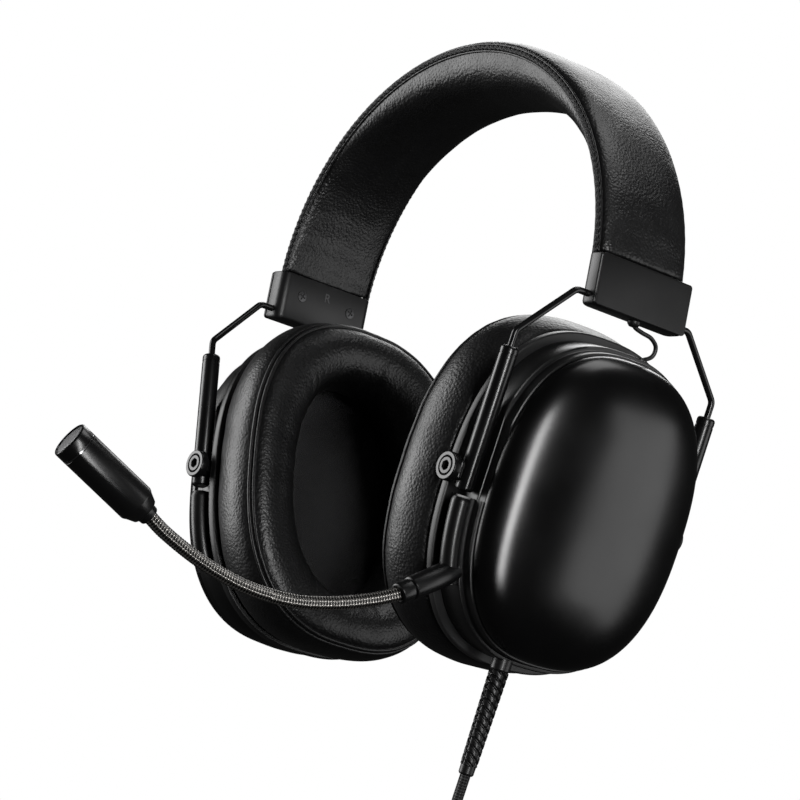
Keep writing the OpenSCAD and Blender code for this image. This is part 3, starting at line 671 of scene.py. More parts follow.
def makeBead(side, end):
    look = beadLook
    points = []
    for k in range(41):
        v = look["from"] + (look["to"] - look["from"]) * k / 40
        share = abs((v - cup["middle"]) / (cup["b"] + look["out"])) ** 2.5
        y = (cup["a"] + look["out"]) * (1 - share) ** 0.4
        sunk = 3.4 * eased((k - 30) / 10) if end > 0 else 0
        points.append(Vector((look["way"], end * (y - sunk), v)) * mm)
    path = spacedOut(points, 0.6 * mm)
    last = len(path) - 1

    def radius(angle, k):
        edge = 1 - 0.16 * (1 - min(k, 2) / 2)
        tail = 1 if end < 0 else 1 - 0.45 * eased((k - last * 0.7) / (last * 0.3))
        return look["radius"] * mm * edge * tail
    bm = bmesh.new()
    sweep(bm, path, 32, radius, (1, 0, 0))
    name = f"{side}_{'rear' if end > 0 else 'front'}_bead"
    return addPiece(bm, name, housingPlastic, f"{side}_cup", turn=cupOf[side])


collar = {"at": (3, 10, 50.6), "leadEnd": (3, 10, 51.2)}


def makeCup(side):
    body = f"{side}_cup"
    turn = cupOf[side]
    inner = [(8.5, 3.8), (5.4, 3.8), (5.2, 2.2), (-2.1, 2.2), (-2.4, 2.0)]
    outer = [(-2.4, 0.55), (-2.3, 0.3), (-1.95, 0.08), (-1.6, 0), (1, 0), (4.2, 0), (7.0, 0), (7.35, 0.08),
             (7.6, 0.35), (7.68, 0.8), (7.72, 1.2), (7.95, 1.42), (8.4, 1.5), (10.9, 1.5), (11.3, 1.6),
             (11.5, 1.9), (11.5, 2.3), (10.9, 2.6), (8.5, 3.8)]
    bm = bmesh.new()
    ovalWall(bm, outer + inner + outer[:1], outline=shellPoint)
    addPiece(bm, f"{side}_housing", housingPlastic, body, (f"{side}_cup_housing",), 32,
             turn)
    for end in (-1, 1):
        makeBead(side, end)

    cup["domeRings"] = [math.cos(k / 44 * math.pi / 2) for k in range(44)] + [0.004]
    bm = bmesh.new()
    wrapRings(bm, 160, 45, domeRing)
    rim = [(11.75, 2.32), (11.2, 2.45), (10.6, 2.9), (10.6, 3.4)]
    ovalWall(bm, rim, 160, domeEdge)
    addPiece(bm, f"{side}_dome", domePaint, body, (f"{side}_cup_dome",), 50, turn)

    bm = bmesh.new()
    ring = [(-2.6, 4), (-2.6, 0.75), (-2.65, 0.35), (-2.85, 0.08), (-3.1, 0), (-4.9, 0), (-5.2, 0.1),
            (-5.4, 0.4), (-5.45, 0.9), (-5.6, 1.1), (-5.6, 16.5), (-2.6, 16.5), (-2.6, 4)]
    ovalWall(bm, ring, outline=ringPoint)
    addPiece(bm, f"{side}_trim", trimPlastic, body, (f"{side}_trim_ring",), 32, turn)

    # collar that the jumper lead enters
    collarAt = Matrix.Translation(Vector(collar["at"]) * mm)
    bm = bmesh.new()
    lathe(bm, [(0, 0), (2.1 * mm, 0), (2.1 * mm, 0.9 * mm), (1.8 * mm, 1.3 * mm), (1.2 * mm, 1.35 * mm),
               (0.95 * mm, 1.1 * mm), (0.95 * mm, 0.4 * mm), (0, 0.4 * mm)], collarAt, 32)
    addPiece(bm, f"{side}_collar", leadRubber, body, turn=turn)


screenLook = {"a": 31.5, "b": 44, "out": -5.65, "in": -6.35, "crown": 2.2, "rings": 20}


def makeScreen(side):
    # the woven panel in the ear opening, stretched a little proud of its rim
    look = screenLook
    shares = [0.003] + [k / look["rings"] for k in range(1, look["rings"] + 1)]
    rings = [(s, look["out"]) for s in shares] + [(s, look["in"]) for s in shares[::-1]]

    def place(angle, k):
        share, w = rings[k]
        y, v = ovalPoint(angle, look["a"] * share, look["b"] * share)
        crowned = look["crown"] * (1 - min(share / 0.8, 1) ** 2)
        ripple = 0.12 * noise.noise((y * 0.12, v * 0.12, 3))
        return Vector((w - crowned - (ripple if share < 0.8 else 0), y, v + cup["middle"])) * mm
    bm = bmesh.new()
    wrapRings(bm, 96, len(rings), place)
    return addPiece(bm, f"{side}_screen", earMesh, f"{side}_cup", (f"{side}_ear_screen",), 50,
                    cupOf[side])


# cushions
cushion = {"holeA": 23.5, "holeB": 36, "columns": 208, "rows": 48, "pressure": 4.0, "cap": 1.3 * mm,
           "gathers": 46, "seamAt": (1.065, 0.775), "gatherDepth": 0.30, "pipe": 0.62 * mm, "fill": 0.75}
cushionSection = [(0.50, 0), (0.80, 0), (0.955, 0.025), (1.035, 0.13), (1.105, 0.33), (1.13, 0.54),
                  (1.105, 0.70), (1.065, 0.775), (1.02, 0.85), (0.92, 0.935), (0.76, 0.985), (0.58, 0.99),
                  (0.41, 0.95),
                  (0.25, 0.865), (0.12, 0.72), (0.045, 0.55), (0.03, 0.37), (0.07, 0.2), (0.18, 0.07),
                  (0.32, 0)]


def closedCurve(points, count):
    # evenly spaced along a smooth closed curve
    ring = [Vector((*p, 0)) for p in points]
    wrapped = ring[-2:] + ring + ring[:2]
    line = smoothThrough(wrapped, 12)[24:-12]
    line = line[:12 * len(ring) + 1]
    return spacedOut(line, sum((b - a).length for a, b in zip(line, line[1:])) / count)[:-1]


puffing = {"frames": 20, "quality": 5, "damping": 15, "smoothing": 10}


def puff(piece, held, pressure, cap, shrink=0.0):
    # blow the cover up a little, with the held points fixed, and keep the result in the mesh
    group = piece.vertex_groups.new(name="held")
    group.add(held, 1.0, "REPLACE")
    before = [v.co.copy() for v in piece.data.vertices]
    cloth = piece.modifiers.new("cloth", "CLOTH")
    cloth.settings.vertex_group_mass = "held"
    cloth.settings.quality = puffing["quality"]
    cloth.settings.use_pressure = True
    cloth.settings.uniform_pressure_force = pressure
    cloth.settings.shrink_min = shrink
    cloth.settings.effector_weights.gravity = 0
    cloth.settings.tension_damping = puffing["damping"]
    cloth.settings.compression_damping = puffing["damping"]
    cloth.point_cache.frame_start = 1
    cloth.point_cache.frame_end = puffing["frames"]
    for step in range(1, puffing["frames"] + 1):
        scene.frame_set(step)
    settled = piece.evaluated_get(bpy.context.evaluated_depsgraph_get()).to_mesh()
    after = [v.co.copy() for v in settled.vertices]
    piece.evaluated_get(bpy.context.evaluated_depsgraph_get()).to_mesh_clear()
    piece.modifiers.remove(cloth)
    piece.vertex_groups.remove(group)
    scene.frame_set(1)
    moves = [new - old for old, new in zip(before, after)]
    moves = [m if m.length < 1 else Vector() for m in moves]
    print(piece.name, "puffed, furthest move", round(max(m.length for m in moves) / mm, 2), "mm, kept to",
          round(cap / mm, 2), "mm")
    moves = [m * min(1, cap / max(m.length, 1e-9)) for m in moves]
    beside = [[] for _ in moves]
    for edge in piece.data.edges:
        a, b = edge.vertices
        beside[a].append(b)
        beside[b].append(a)
    fixed = set(held)
    for _ in range(puffing["smoothing"]):  # even out the pleats that the short run leaves
        around = [sum((moves[j] for j in near), Vector()) for near in beside]
        moves = [m if i in fixed else (m + around[i]) / (1 + len(beside[i])) for i, m in enumerate(moves)]
    for v, old, move in zip(piece.data.vertices, before, moves):
        v.co = old + move


def cushionPlace(angle, across, depth):
    inY, inV = ovalPoint(angle, cushion["holeA"], cushion["holeB"], 2.3)
    outY, outV = ovalPoint(angle, ringHigh.y, (ringHigh.z - ringLow.z) / 2)
    back = padHigh.x
    thick = padHigh.x - padLow.x
    return Vector((back - depth * thick, inY + (outY - inY) * across,
                   inV + (outV - inV) * across + cup["middle"]))


def makeCushion():
    look = cushion
    rows = closedCurve(cushionSection, look["rows"])
    seamRow = min(range(len(rows)), key=lambda k: (rows[k].xy - Vector(look["seamAt"])).length)
    seamRows = (seamRow, seamRow + 1)
    columns = look["columns"]

    def place(angle, k):
        row = rows[k % len(rows)]
        point = cushionPlace(angle, row.x, row.y)
        pinch = 0.25 if k % len(rows) in seamRows else 0
        point.y -= pinch * math.cos(angle)
        point.z -= pinch * math.sin(angle)
        return leftCup @ (point * mm)
    bm = bmesh.new()
    bm.verts.layers.int.new("row")
    bm.verts.layers.float.new("turn")
    marks, turns = bm.verts.layers.int["row"], bm.verts.layers.float["turn"]
    spots = wrapRings(bm, columns, len(rows) + 1, place, capped=False)
    for v, (angle, k) in spots.items():
        v[marks] = k % len(rows)
        v[turns] = angle
    piece = addPiece(bm, "left_cushion", cushionLeather, crease=180)
    rowOf = [d.value for d in piece.data.attributes["row"].data]
    turnOf = [d.value for d in piece.data.attributes["turn"].data]
    held = [i for i, row in enumerate(rowOf) if row in seamRows or rows[row].y < 0.02]
    puff(piece, held, look["pressure"], look["cap"])

    # gathers where the face is drawn into the opening, and soft dents round the outside
    normals = [v.normal.copy() for v in piece.data.vertices]
    for v, normal, row, angle in zip(piece.data.vertices, normals, rowOf, turnOf):
        across, depth = rows[row].x, rows[row].y
        drawn = eased((0.62 - across) / 0.4) * eased((depth - 0.12) / 0.3)
        drift = noise.noise((math.cos(angle) * 5, math.sin(angle) * 5, depth * 1.5)) * 7
        strength = noise.noise((math.cos(angle) * 9, math.sin(angle) * 9, 7))
        fold = math.sin(angle * look["gathers"] + drift) * strength
        dent = noise.noise((math.cos(angle) * 6, math.sin(angle) * 6, depth * 2.2 + 4)) * 0.22
        edge = math.exp(-((depth - look["seamAt"][1]) / 0.05) ** 2) if across > 0.9 else 0
        pucker = math.sin(angle * 150) * 0.05 * edge
        v.co += normal * mm * (2.1 * look["gatherDepth"] * drawn * fold + dent + pucker)
    bm = bmesh.new()
    for seam in seamRows:
        along = sorted((turnOf[i], i) for i, row in enumerate(rowOf) if row == seam)
        path = [piece.data.vertices[i].co + normals[i] * (0.25 * mm) for _, i in along]
        path.append(path[0])
        sweep(bm, path, 10, look["pipe"], cupOut, looped=True)
    pipe = addPiece(bm, "left_piping", pipingLeather, crease=180)
    soft = piece.modifiers.new("smooth", "SUBSURF")
    soft.levels = soft.render_levels = 1
    made = [piece, pipe]
    for name in ("row", "turn"):
        piece.data.attributes.remove(piece.data.attributes[name])
    for left in (piece, pipe):
        mesh = left.data.copy()
        mesh.transform(mirrorX)
        mesh.flip_normals()
        right = bpy.data.objects.new(left.name.replace("left", "right"), mesh)
        scene.collection.objects.link(right)
        if left is piece:
            soft = right.modifiers.new("smooth", "SUBSURF")
            soft.levels = soft.render_levels = 1
        made.append(right)
    for each, side in zip(made, ("left", "left", "right", "right")):
        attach(each, f"{side}_cup")
        if "cushion" in each.name:
            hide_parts(f"{side}_ear_cushion")


# sleeves and pivot screws
alongPivot = Matrix(((0, 1, 0, 0), (0, 0, 1, 0), (1, 0, 0, 0), (0, 0, 0, 1)))
sleeve = {"way": 4.2, "out": 43.9, "r": 3.0, "low": -5.8, "high": 41.2, "disc0": 47.5, "disc1": 50.5,
          "disc": 4.7}


def makeSleeve(side, end):
    look = sleeve
    name = f"{side}_{'rear' if end > 0 else 'front'}_sleeve"
    r, low, high = look["r"], look["low"], look["high"]
    bm = bmesh.new()
    stand = Matrix.Translation(Vector((look["way"], look["out"], 0)) * mm)
    profile = [(0, low), (2.2, low), (2.75, low + 0.35), (3, low + 0.9), (r, high - 3.0),
               (r - 0.12, high - 2.9), (r - 0.12, high - 2.5), (r, high - 2.4), (r, high - 0.9),
               (r - 0.15, high - 0.45),
               (r - 0.5, high - 0.1), (r - 0.9, high), (1.45, high), (1.2, high - 0.25), (1.2, 12), (0, 12)]
    lathe(bm, [(a * mm, b * mm) for a, b in profile], stand, 56)
    # disc with its counterbore
    d0, d1, d = look["disc0"], look["disc1"], look["disc"]
    profile = [(0, d0), (d - 0.5, d0), (d, d0 + 0.45), (d, d1 - 0.45), (d - 0.12, d1 - 0.18), (d - 0.4, d1),
               (3.35, d1), (3.1, d1 - 0.2), (3.1, d1 - 1.7), (0, d1 - 1.7)]
    lathe(bm, [(a * mm, b * mm) for a, b in profile], alongPivot, 64)
    # web between the tube and the disc
    for size, place, rounding in (((4.6, 4.4, 6.4), (2.2, 46.2, 0), 1.1),
                                ((6.0, 5.4, 4.2), (1.2, 44.6, 0), 0.8)):
        web = bmesh.ops.create_cube(bm, size=1)["verts"]
        bmesh.ops.scale(bm, vec=Vector(size) * mm, verts=web)
        bmesh.ops.translate(bm, vec=Vector(place) * mm, verts=web)
        bmesh.ops.bevel(bm, geom=edgesOf(web), offset=rounding * mm,
                        affect="EDGES", segments=4, profile=0.5, material=-1)
    turn = cupOf[side] @ Matrix.Diagonal((1, end, 1, 1))
    return addPiece(bm, name, sleevePlastic, f"{side}_sleeves", (name,), 30, turn)


def makePivot(side, end):
    # cap screw with a six-sided recess
    d1 = sleeve["disc1"]
    rings = [(0, d1 - 1.72, 0), (2.75, d1 - 1.72, 0), (2.85, d1 - 0.5, 0), (2.8, d1 - 0.12, 0),
             (2.6, d1 + 0.06, 0), (2.0, d1 + 0.1, 0), (1.68, d1 + 0.06, 0.6), (1.5, d1 - 0.1, 1),
             (1.42, d1 - 1.3, 1),
             (0, d1 - 1.35, 0)]

    def place(angle, k):
        r, y, six = rings[k]
        corner = math.cos(math.pi / 6) / math.cos((angle % (math.pi / 3)) - math.pi / 6)
        r *= 1 + (corner * 1.06 - 1) * six
        return Vector((r * math.sin(angle), y, r * math.cos(angle))) * mm
    bm = bmesh.new()
    wrapRings(bm, 60, len(rings), place)
    pin = [(0, 33), (1.25, 33), (1.3, 34), (1.3, 49), (0, 49)]
    lathe(bm, [(a * mm, b * mm) for a, b in pin], alongPivot, 24)
    name = f"{side}_{'rear' if end > 0 else 'front'}_pivot"
    turn = cupOf[side] @ Matrix.Diagonal((1, end, 1, 1))
    return addPiece(bm, name, blackSteel, f"{side}_cup", (f"{side}_pivot_screws",), 28, turn)


for side in sides:
    makeCup(side)
    makeScreen(side)
    for end in (-1, 1):
        makeSleeve(side, end)
        makePivot(side, end)
makeCushion()
print("cups, cushions and sleeves done")

# headband: sizes in mm
blockLow, blockHigh = (Vector(c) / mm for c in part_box("left_block_shell"))
coverLow = Vector(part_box("left_block_cover")[0]) / mm
band = {"centre": -65.0, "radius": 80.0, "half": 18.3, "coverEnd": 4.8, "coverTop": 4.6, "padEnd": 1.8,
        "padTop": 15.0, "lift": 3.65, "steps": 168, "round": 60, "pressure": 4.0, "cap": 0.9 * mm,
        "fill": 0.7, "ropeRadius": 0.78, "ropePitch": 2.3, "ropeOut": 0.70, "ropeTwist": 0.34,
        "lipRadius": 0.42,
        "lipOut": 0.40}


def onArch(angle, y, radius):
    return Vector((radius * math.cos(angle), y, band["centre"] + radius * math.sin(angle))) * mm


def archAngle(k):
    low = math.radians(band["lift"])
    return low + (math.pi - 2 * low) * k / band["steps"]


def sectionPoint(angle, fullness):
    across, up = math.cos(angle), math.sin(angle)
    return (math.copysign(abs(across) ** (2 / fullness), across) * (band["half"] + 0.35),
            math.copysign(abs(up) ** (2 / fullness), up))


def coverPlace(angle, k):
    a = archAngle(k)
    y, z = sectionPoint(angle, 3.0)
    depth = band["coverEnd"] + (band["coverTop"] - band["coverEnd"]) * math.sin(a) ** 2 - 0.9
    return onArch(a, y, band["radius"] + 0.1 + (depth + 0.67) * max(z, 0))


def padPlace(angle, k):
    a = archAngle(k)
    y, z = sectionPoint(angle, 2.7)
    depth = band["padEnd"] + (band["padTop"] - band["padEnd"]) * math.sin(a) ** 2 - 1.2
    return onArch(a, y, band["radius"] - 0.1 - (depth + 0.67) * max(z, 0))


def makeBandPart(name, place, stands, creases):
    bm = bmesh.new()
    bm.verts.layers.int.new("held")
    bm.verts.layers.int.new("step")
    marks, steps = (bm.verts.layers.int[n] for n in ("held", "step"))
    spots = wrapRings(bm, band["round"], band["steps"] + 1, place)
    for v, (angle, k) in spots.items():
        v[marks] = math.sin(angle) <= 0.08 or k in (0, band["steps"])
        v[steps] = k
    piece = addPiece(bm, name, bandLeather, crease=180)
    held = [i for i, d in enumerate(piece.data.attributes["held"].data) if d.value]
    stepOf = [d.value for d in piece.data.attributes["step"].data]
    heldSet = set(held)
    puff(piece, held, band["pressure"], band["cap"])
    for i, v in enumerate(piece.data.vertices):
        if i in heldSet:
            continue
        k = stepOf[i]
        near = min(k, band["steps"] - k)
        wrinkle = creases * math.exp(-(near / 16) ** 2) * math.sin(near * 0.95 + 2.4 * noise.noise(v.co * 60))
        dent = 0.30 * noise.noise(v.co * 45) + 0.12 * noise.noise(v.co * 130)
        seam = eased((band["half"] - abs(v.co.y / mm)) / 2.5)
        v.co += v.normal * mm * (wrinkle + dent) * seam
    for layer in ("held", "step"):
        piece.data.attributes.remove(piece.data.attributes[layer])
    soft = piece.modifiers.new("smooth", "SUBSURF")
    soft.levels = soft.render_levels = 1
    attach(piece, "headband")
    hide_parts(stands)
    return piece


def edgeArc(end, out, radius, steps):
    # a line along the front or rear edge, from block to block
    low = math.radians(band["lift"])
    return [onArch(low + (math.pi - 2 * low) * k / steps, end * (band["half"] + out), radius)
            for k in range(steps + 1)]


def makeRopes():
    for end, name in ((-1, "front"), (1, "rear")):
        path = spacedOut(edgeArc(end, band["ropeOut"], band["radius"], 240), 0.34 * mm)
        lengths = lengthsOf(path)
        r, pitch = band["ropeRadius"] * mm, band["ropePitch"] * mm

        def twisted(angle, k):
            return r * (1 + band["ropeTwist"] * math.cos(2 * angle - math.tau * lengths[k] / pitch))

        def lip(angle, k):
            return band["lipRadius"] * mm * (1 + 0.09 * math.sin(k * 1.9))
        bm = bmesh.new()
        sweep(bm, path, 12, twisted)
        addPiece(bm, f"band_rope_{name}", ropeThread, "headband", crease=180)
        bm = bmesh.new()
        for offset in (-1.15, 1.15):
            sweep(bm, edgeArc(end, band["lipOut"], band["radius"] + offset, 170), 12, lip)
        addPiece(bm, f"band_lips_{name}", pipingLeather, "headband", crease=180)


makeBandPart("band_cover", coverPlace, "crown_cover", 0.12)
makeBandPart("band_pad", padPlace, "crown_pad", 0.12)
makeRopes()
print("headband done")

# end blocks
block = {"plate": 1.0, "edge": 0.35, "corner": 3.2, "screwY": 11.0, "screwZ": -67.0, "markHeight": 3.2,
         "chamfer": 1.3}


def boxBetween(bm, low, high):
    cube = bmesh.ops.create_cube(bm, size=1)["verts"]
    low, high = Vector(low), Vector(high)
    bmesh.ops.scale(bm, vec=(high - low) * mm, verts=cube)
    bmesh.ops.translate(bm, vec=(high + low) / 2 * mm, verts=cube)
    return cube


def bevelEdges(bm, chosen, offset, segments=5):
    bmesh.ops.bevel(bm, geom=chosen, offset=offset * mm, affect="EDGES", segments=segments, profile=0.5,
                    material=-1, clamp_overlap=True)


def makeBlock(side):
    turn = sideOf[side]
    x0, x1 = coverLow.x, blockHigh.x
    y1, z0, z1 = blockHigh.y, blockLow.z, blockHigh.z
    bm = bmesh.new()
    body = boxBetween(bm, (x0, -y1, z0), (x1 - block["plate"] - 0.12, y1, z1))
    upright = [e for e in bm.edges if abs(e.verts[0].co.z - e.verts[1].co.z) > 5 * mm
               and e.verts[0].co.x < (x0 + 1) * mm]
    bevelEdges(bm, upright, block["corner"], 8)
    lower = [e for e in bm.edges if all(abs(v.co.z - z0 * mm) < 0.01 * mm for v in e.verts)]
    bevelEdges(bm, lower, block["chamfer"], 2)
    rest = [e for e in bm.edges if e.calc_face_angle(0) > 0.6]
    bevelEdges(bm, rest, block["edge"], 3)
    addPiece(bm, f"{side}_block", blockPlastic, "headband",
             (f"{side}_block_shell", f"{side}_block_cover"), 30, turn)
    # thin outer plate
    bm = bmesh.new()
    boxBetween(bm, (x1 - block["plate"], -y1, z0 + 0.2), (x1, y1, z1))
    corners = [e for e in bm.edges if abs(e.verts[0].co.x - e.verts[1].co.x) > 0.3 * mm]
    bevelEdges(bm, corners, 1.1, 5)
    rims = [e for e in bm.edges if e.calc_face_angle(0) > 0.9]
    bevelEdges(bm, rims, 0.22, 3)
    addPiece(bm, f"{side}_block_plate", facePlastic, "headband", crease=30, turn=turn)
    # small bulge below, where the jumper lead leaves
    bm = bmesh.new()
    boss = Matrix.Translation(Vector((81.1, 1.6, z0 + 0.6)) * mm)
    lathe(bm, [(0, 0), (2.2 * mm, 0), (2.1 * mm, -1.2 * mm), (1.5 * mm, -2.0 * mm), (0.9 * mm, -2.2 * mm),
               (0, -2.2 * mm)], boss, 28)
    addPiece(bm, f"{side}_block_boss", leadRubber, "headband", turn=turn)
    # cross-head screws
    bm = bmesh.new()
    for end in (-1, 1):
        rings = [(0, 1.0, 0), (1.95, 1.0, 0), (2.0, -0.02, 0), (1.85, -0.18, 0), (1.5, -0.24, 0),
                 (1, -0.26, 1), (0.97, 0.5, 1), (0, 0.55, 0)]

        def place(angle, k):
            r, x, cross = rings[k]
            arms = 0.26 / max(min(abs(math.sin(angle + 0.4)), abs(math.cos(angle + 0.4))), 0.01)
            r = min(1.25, arms) * r if cross else r
            return Vector((x0 + x, end * block["screwY"] + r * math.cos(angle),
                           block["screwZ"] + r * math.sin(angle))) * mm
        wrapRings(bm, 72, len(rings), place)
    addPiece(bm, f"{side}_block_screwheads", screwSteel, "headband",
             (f"{side}_block_screws",), 30, turn)
    # generic side mark
    text = bpy.data.curves.new(f"{side}_mark", "FONT")
    text.body = side[0].upper()
    text.size = block["markHeight"] * 1.4 * mm
    text.extrude = 0.06 * mm
    text.bevel_depth = 0.03 * mm
    text.align_x = "CENTER"
    text.align_y = "CENTER"
    letter = bpy.data.objects.new("letter", text)
    scene.collection.objects.link(letter)
    bpy.context.view_layer.update()
    mesh = bpy.data.meshes.new_from_object(letter)
    bpy.data.objects.remove(letter)
    g = 1 if side == "left" else -1
    stand = Matrix(((0, 0, -g, 0), (-g, 0, 0, 0), (0, 1, 0, 0), (0, 0, 0, 1)))
    stand.translation = Vector((g * (x0 - 0.03), 0, block["screwZ"] + 2.2)) * mm
    mesh.transform(stand)
    mesh.materials.clear()
    mesh.materials.append(markPaint)
    mark = bpy.data.objects.new(f"{side}_side_mark", mesh)
    scene.collection.objects.link(mark)
    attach(mark, "headband")


# wire yokes and jumper leads
wire = {"radius": 1.1, "bend": 3.2, "bar": (81.4, 25.0, -73.6), "knee": (78.5, 43.9, -92.1), "legEnd": 6.2}


def makeWire(side):
    bar, knee = Vector(wire["bar"]) * mm, Vector(wire["knee"]) * mm
    foot = leftCup @ (Vector((sleeve["way"], sleeve["out"], wire["legEnd"])) * mm)
    flip = Matrix.Diagonal((1, -1, 1))
    points = roundedCorners([flip @ foot, flip @ knee, flip @ bar, bar, knee, foot], wire["bend"] * mm, 9)
    bm = bmesh.new()
    sweep(bm, points, 24, wire["radius"] * mm)
    addPiece(bm, f"{side}_wire", blackSteel, "headband", (f"{side}_yoke_wire",), 60,
             sideOf[side])


jumper = {"radius": 0.72, "step": 0.35, "joinAt": 0.62, "sides": 14}


def makeJumper(side):
    start = Vector((81.4, 0, blockLow.z)) * mm
    loop = [(-0.4, 1.6, 0.4), (-0.4, 2.4, -1.4), (-0.4, 6, -2.3), (-0.7, 10.5, -2.9), (-1.2, 13.6, -5.0),
            (-2, 13.4, -8.2)]
    points = [start + Vector(p) * mm for p in loop] + [leftCup @ (Vector(collar["leadEnd"]) * mm)]
    path = spacedOut(smoothThrough(points, 8), jumper["step"] * mm)
    cut = int(len(path) * jumper["joinAt"])
    joinPoint = path[cut]
    for part, stretch in (("upper", path[:cut + 1]), ("lower", path[cut:])):
        bm = bmesh.new()
        sweep(bm, stretch, jumper["sides"], jumper["radius"] * mm, (1, 0, 0))
        stands = (f"{side}_jumper_lead",) if part == "upper" else ()
        piece = addPiece(bm, f"{side}_jumper_{part}", leadRubber, None, stands, 70,
                         sideOf[side])
        flip = sideOf[side]
        if part == "upper":
            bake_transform(piece, "headband", f"{side}_sleeves", start=flip @ path[4], end=flip @ joinPoint)
        else:
            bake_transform(piece, f"{side}_sleeves", f"{side}_cup", start=flip @ joinPoint, end=flip @ path[-3])


for side in sides:
    makeBlock(side)
    makeWire(side)
    makeJumper(side)
print("blocks, wires and jumper leads done")

# microphone boom, in cup coordinates and mm
boom = {"bootFrom": (4.2, -39.4, -31.3), "bootRadius": 3.85, "neckRadius": 2.12, "braidDepth": 0.13,
        "braidPitch": 1.6, "flex": 20, "micRadius": 6.1, "cone": 5.0, "body": 28.5,
        "micWay": (-0.29, -0.86, 0.43), "route": [(6.2, -57.6, -42.2), (5, -66, -46.2), (3.2, -77, -50.2),
                                                  (1.1, -88.5, -53),
                  (-1.2, -98.5, -53.8), (-3.8, -109, -53.2), (-7.4, -122, -50.2), (-11.2, -134.5, -45.4),
                                                  (-13.6, -141.2, -41.6)],
        "middle": 4}


def makeBoot():
    start, end = Vector(boom["bootFrom"]), Vector(boom["route"][0])
    long = (end - start).length
    r = boom["bootRadius"]
    profile = [(0, -3), (r, -3), (r, 6), (r - 0.12, long - 5.9), (r - 0.25, long - 5.5),
               (r - 0.55, long - 5.3), (r - 0.95, long - 5.25), (r - 0.95, long - 4.85),
               (r - 0.6, long - 4.8),
               (r - 0.45, long - 4.6), (r - 0.45, long - 0.6), (r - 0.6, long - 0.2), (r - 0.95, long),
               (2.5, long),
               (2.4, long - 0.5), (0, long - 0.5)]
    bm = bmesh.new()
    lathe(bm, [(a * mm, b * mm) for a, b in profile], pointing(start * mm, end - start), 56)
    addPiece(bm, "boom_boot", housingPlastic, "left_cup", ("mic_boot",), 30, leftCup)


def makeNeck():
    line = [leftCup @ (p * mm) for p in smoothThrough(boom["route"], 14)]
    split = boom["middle"] * 14
    halves = (("neck_root", line[:split + 1], "left_cup", "boom", "gooseneck_root"),
              ("neck_tip", line[split:], "boom", "microphone", "gooseneck_tip"))
    for name, stretch, bodyA, bodyB, node in halves:
        path = spacedOut(stretch, 0.42 * mm)
        lengths = lengthsOf(path)
        pitch = boom["braidPitch"] * mm

        def strands(angle, k):
            run = math.tau * lengths[k] / pitch
            return (boom["neckRadius"] + boom["braidDepth"] * math.sin(4 * angle + run)
                    * math.sin(4 * angle - run)) * mm
        bm = bmesh.new()
        sweep(bm, path, 48, strands, (1, 0, 0))
        piece = addPiece(bm, name, neckBraid, None, (node,), 180)
        reach = next(k for k, at in enumerate(lengths) if at > boom["flex"] * mm)
        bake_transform(piece, bodyA, bodyB, start=path[0], end=path[reach])


def makeMicrophone():
    r, start = boom["micRadius"], Vector(boom["route"][-1])
    end = boom["cone"] + boom["body"]
    turn = leftCup @ pointing(start * mm, boom["micWay"])
    profile = [(0, -0.8), (2.75, -0.8), (3.05, -0.55), (3.2, -0.1), (3.3, 1.0), (3.45, 1.25), (4.1, 1.45),
               (4.35, 1.65), (5.5, 4.3), (5.85, 4.8), (r, 5.4), (r, end - 4.5), (r - 0.18, end - 4.35),
               (r - 0.18, end - 3.75), (r, end - 3.6), (r, end - 0.55), (r - 0.15, end - 0.2),
               (r - 0.4, end), (r - 0.75, end), (r - 0.85, end - 0.2), (r - 0.85, end - 0.9),
               (0, end - 0.9)]
    bm = bmesh.new()
    lathe(bm, [(a * mm, b * mm) for a, b in profile], turn, 72)
    addPiece(bm, "mic_case", micPaint, "microphone", ("mic_body",), 30)
    bm = bmesh.new()
    ring = [(r - 0.3, end - 4.3), (r + 0.02, end - 4.25), (r + 0.04, end - 3.85), (r - 0.3, end - 3.8),
            (r - 0.3, end - 4.3)]
    wrapRings(bm, 72, len(ring), lambda angle, k: turn @ (Vector(
        (ring[k][0] * math.cos(angle), ring[k][0] * math.sin(angle), ring[k][1])) * mm), capped=False)
    addPiece(bm, "mic_ring", ringSteel, "microphone", crease=30)
    face = [(0, end - 0.95), (r - 0.9, end - 0.95), (r - 0.9, end - 0.5), (r - 1.2, end - 0.38),
            (3, end - 0.3), (0.02, end - 0.28)]
    bm = bmesh.new()
    lathe(bm, [(a * mm, b * mm) for a, b in face], turn, 72)
    addPiece(bm, "mic_front", grilleMesh, "microphone", ("mic_grille",), 30)


makeBoot()
makeNeck()
makeMicrophone()
print("boom and microphone done")

# pieces inside keep their CAD shape
inside = {"baffle": innerPlastic, "driver_frame": innerPlastic, "diaphragm": diaphragmFilm,
          "magnet": magnetSteel, "cup_screws": zincSteel}
insideOnce = {"spring_band": springSteel, "terminal_board": boardGreen, "mic_element": zincSteel}
for name, node in frame["nodes"].items():
    short = name.split("_", 1)[1] if name.split("_")[0] in sides else name
    finish = inside.get(short) or insideOnce.get(name)
    if finish:
        node.data.materials.clear()
        node.data.materials.append(finish)

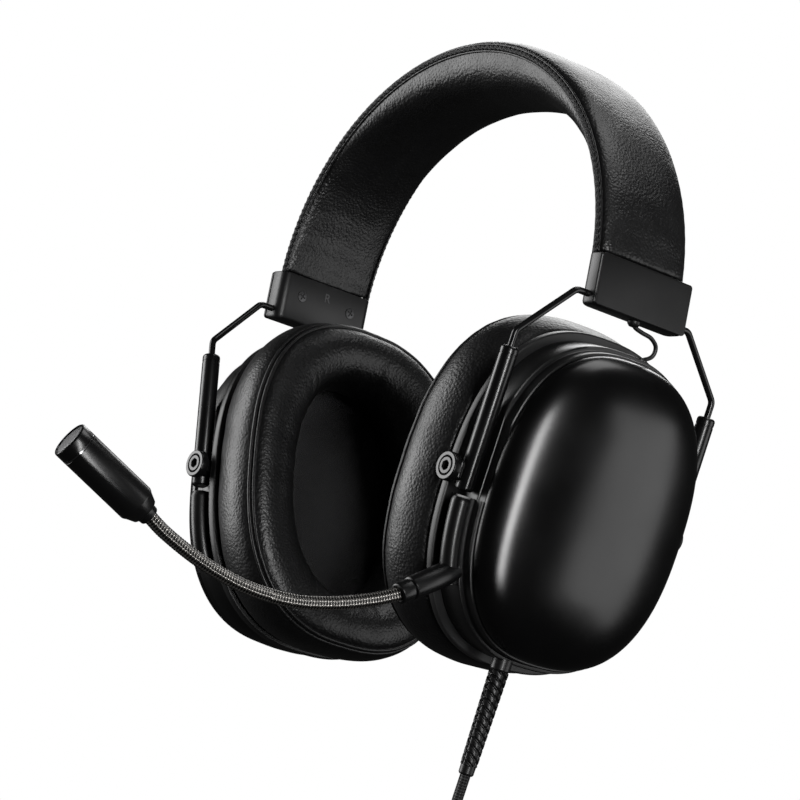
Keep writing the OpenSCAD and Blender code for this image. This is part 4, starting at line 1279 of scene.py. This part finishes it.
# floor and light
# each softbox: name, direction, distance, width, height, power
studio = {"floor": -0.435, "floorGlow": 0.5, "room": 0.02, "boxes": [
    ("side", (0.713, 0.701, -0.07), 1.1, 0.61, 0.80, 2.8),
    ("strip", (0.930, -0.302, -0.20), 1.1, 0.17, 1.0, 12.5),
    ("back", (-0.5, 0.5, 0.70), 1.0, 0.6, 0.5, 4.0),
    ("top", (0.35, 0.25, 1.0), 1.0, 0.5, 0.5, 2.5),
    ("front", (-0.77, -0.615, 0.17), 1.1, 0.6, 0.9, 11.0)]}


def makeLights():
    aim = Vector((0.02, 0, -0.12))
    for name, way, distance, width, height, power in studio["boxes"]:
        data = bpy.data.lights.new(name, "AREA")
        data.shape = "RECTANGLE"
        data.size, data.size_y = width, height
        data.energy = power
        lamp = bpy.data.objects.new(name, data)
        way = Vector(way).normalized()
        lamp.matrix_world = way.to_track_quat("Z", "Y").to_matrix().to_4x4()
        lamp.matrix_world.translation = aim + way * distance
        lamp.visible_camera = False
        scene.collection.objects.link(lamp)


def makeRoom():
    world = bpy.data.worlds.new("studio")
    world.use_nodes = True
    tree = world.node_tree
    ground = tree.nodes["Background"]
    seen = addNode(tree, "ShaderNodeBackground", {"Color": (1, 1, 1, 1), "Strength": 1.0})
    ground.inputs["Color"].default_value = (1, 1, 1, 1)
    ground.inputs["Strength"].default_value = studio["room"]
    choose = addNode(tree, "ShaderNodeMixShader")
    tree.links.new(addNode(tree, "ShaderNodeLightPath").outputs["Is Camera Ray"], choose.inputs["Fac"])
    tree.links.new(ground.outputs[0], choose.inputs[1])
    tree.links.new(seen.outputs[0], choose.inputs[2])
    tree.links.new(choose.outputs[0], tree.nodes["World Output"].inputs["Surface"])
    scene.world = world
    scene.view_settings.view_transform = "Standard"


def makeFloor():
    bm = bmesh.new()
    bmesh.ops.create_grid(bm, x_segments=4, y_segments=4, size=2.2)
    bmesh.ops.translate(bm, vec=(0, 0, studio["floor"]), verts=bm.verts)
    paleFloor = makePlastic("pale floor", (0.34, 0.34, 0.34), (0.36, 0.36, 0.36), 0.6, 90, 0.02 * mm)
    shader = paleFloor.node_tree.nodes["Principled BSDF"]
    shader.inputs["Emission Color"].default_value = (1, 1, 1, 1)
    shader.inputs["Emission Strength"].default_value = studio["floorGlow"]
    floor = addPiece(bm, "floor", paleFloor)
    floor.visible_glossy = floor.visible_diffuse = False  # its pale bounce would wash out the black plastic


makeLights()
makeRoom()
makeFloor()
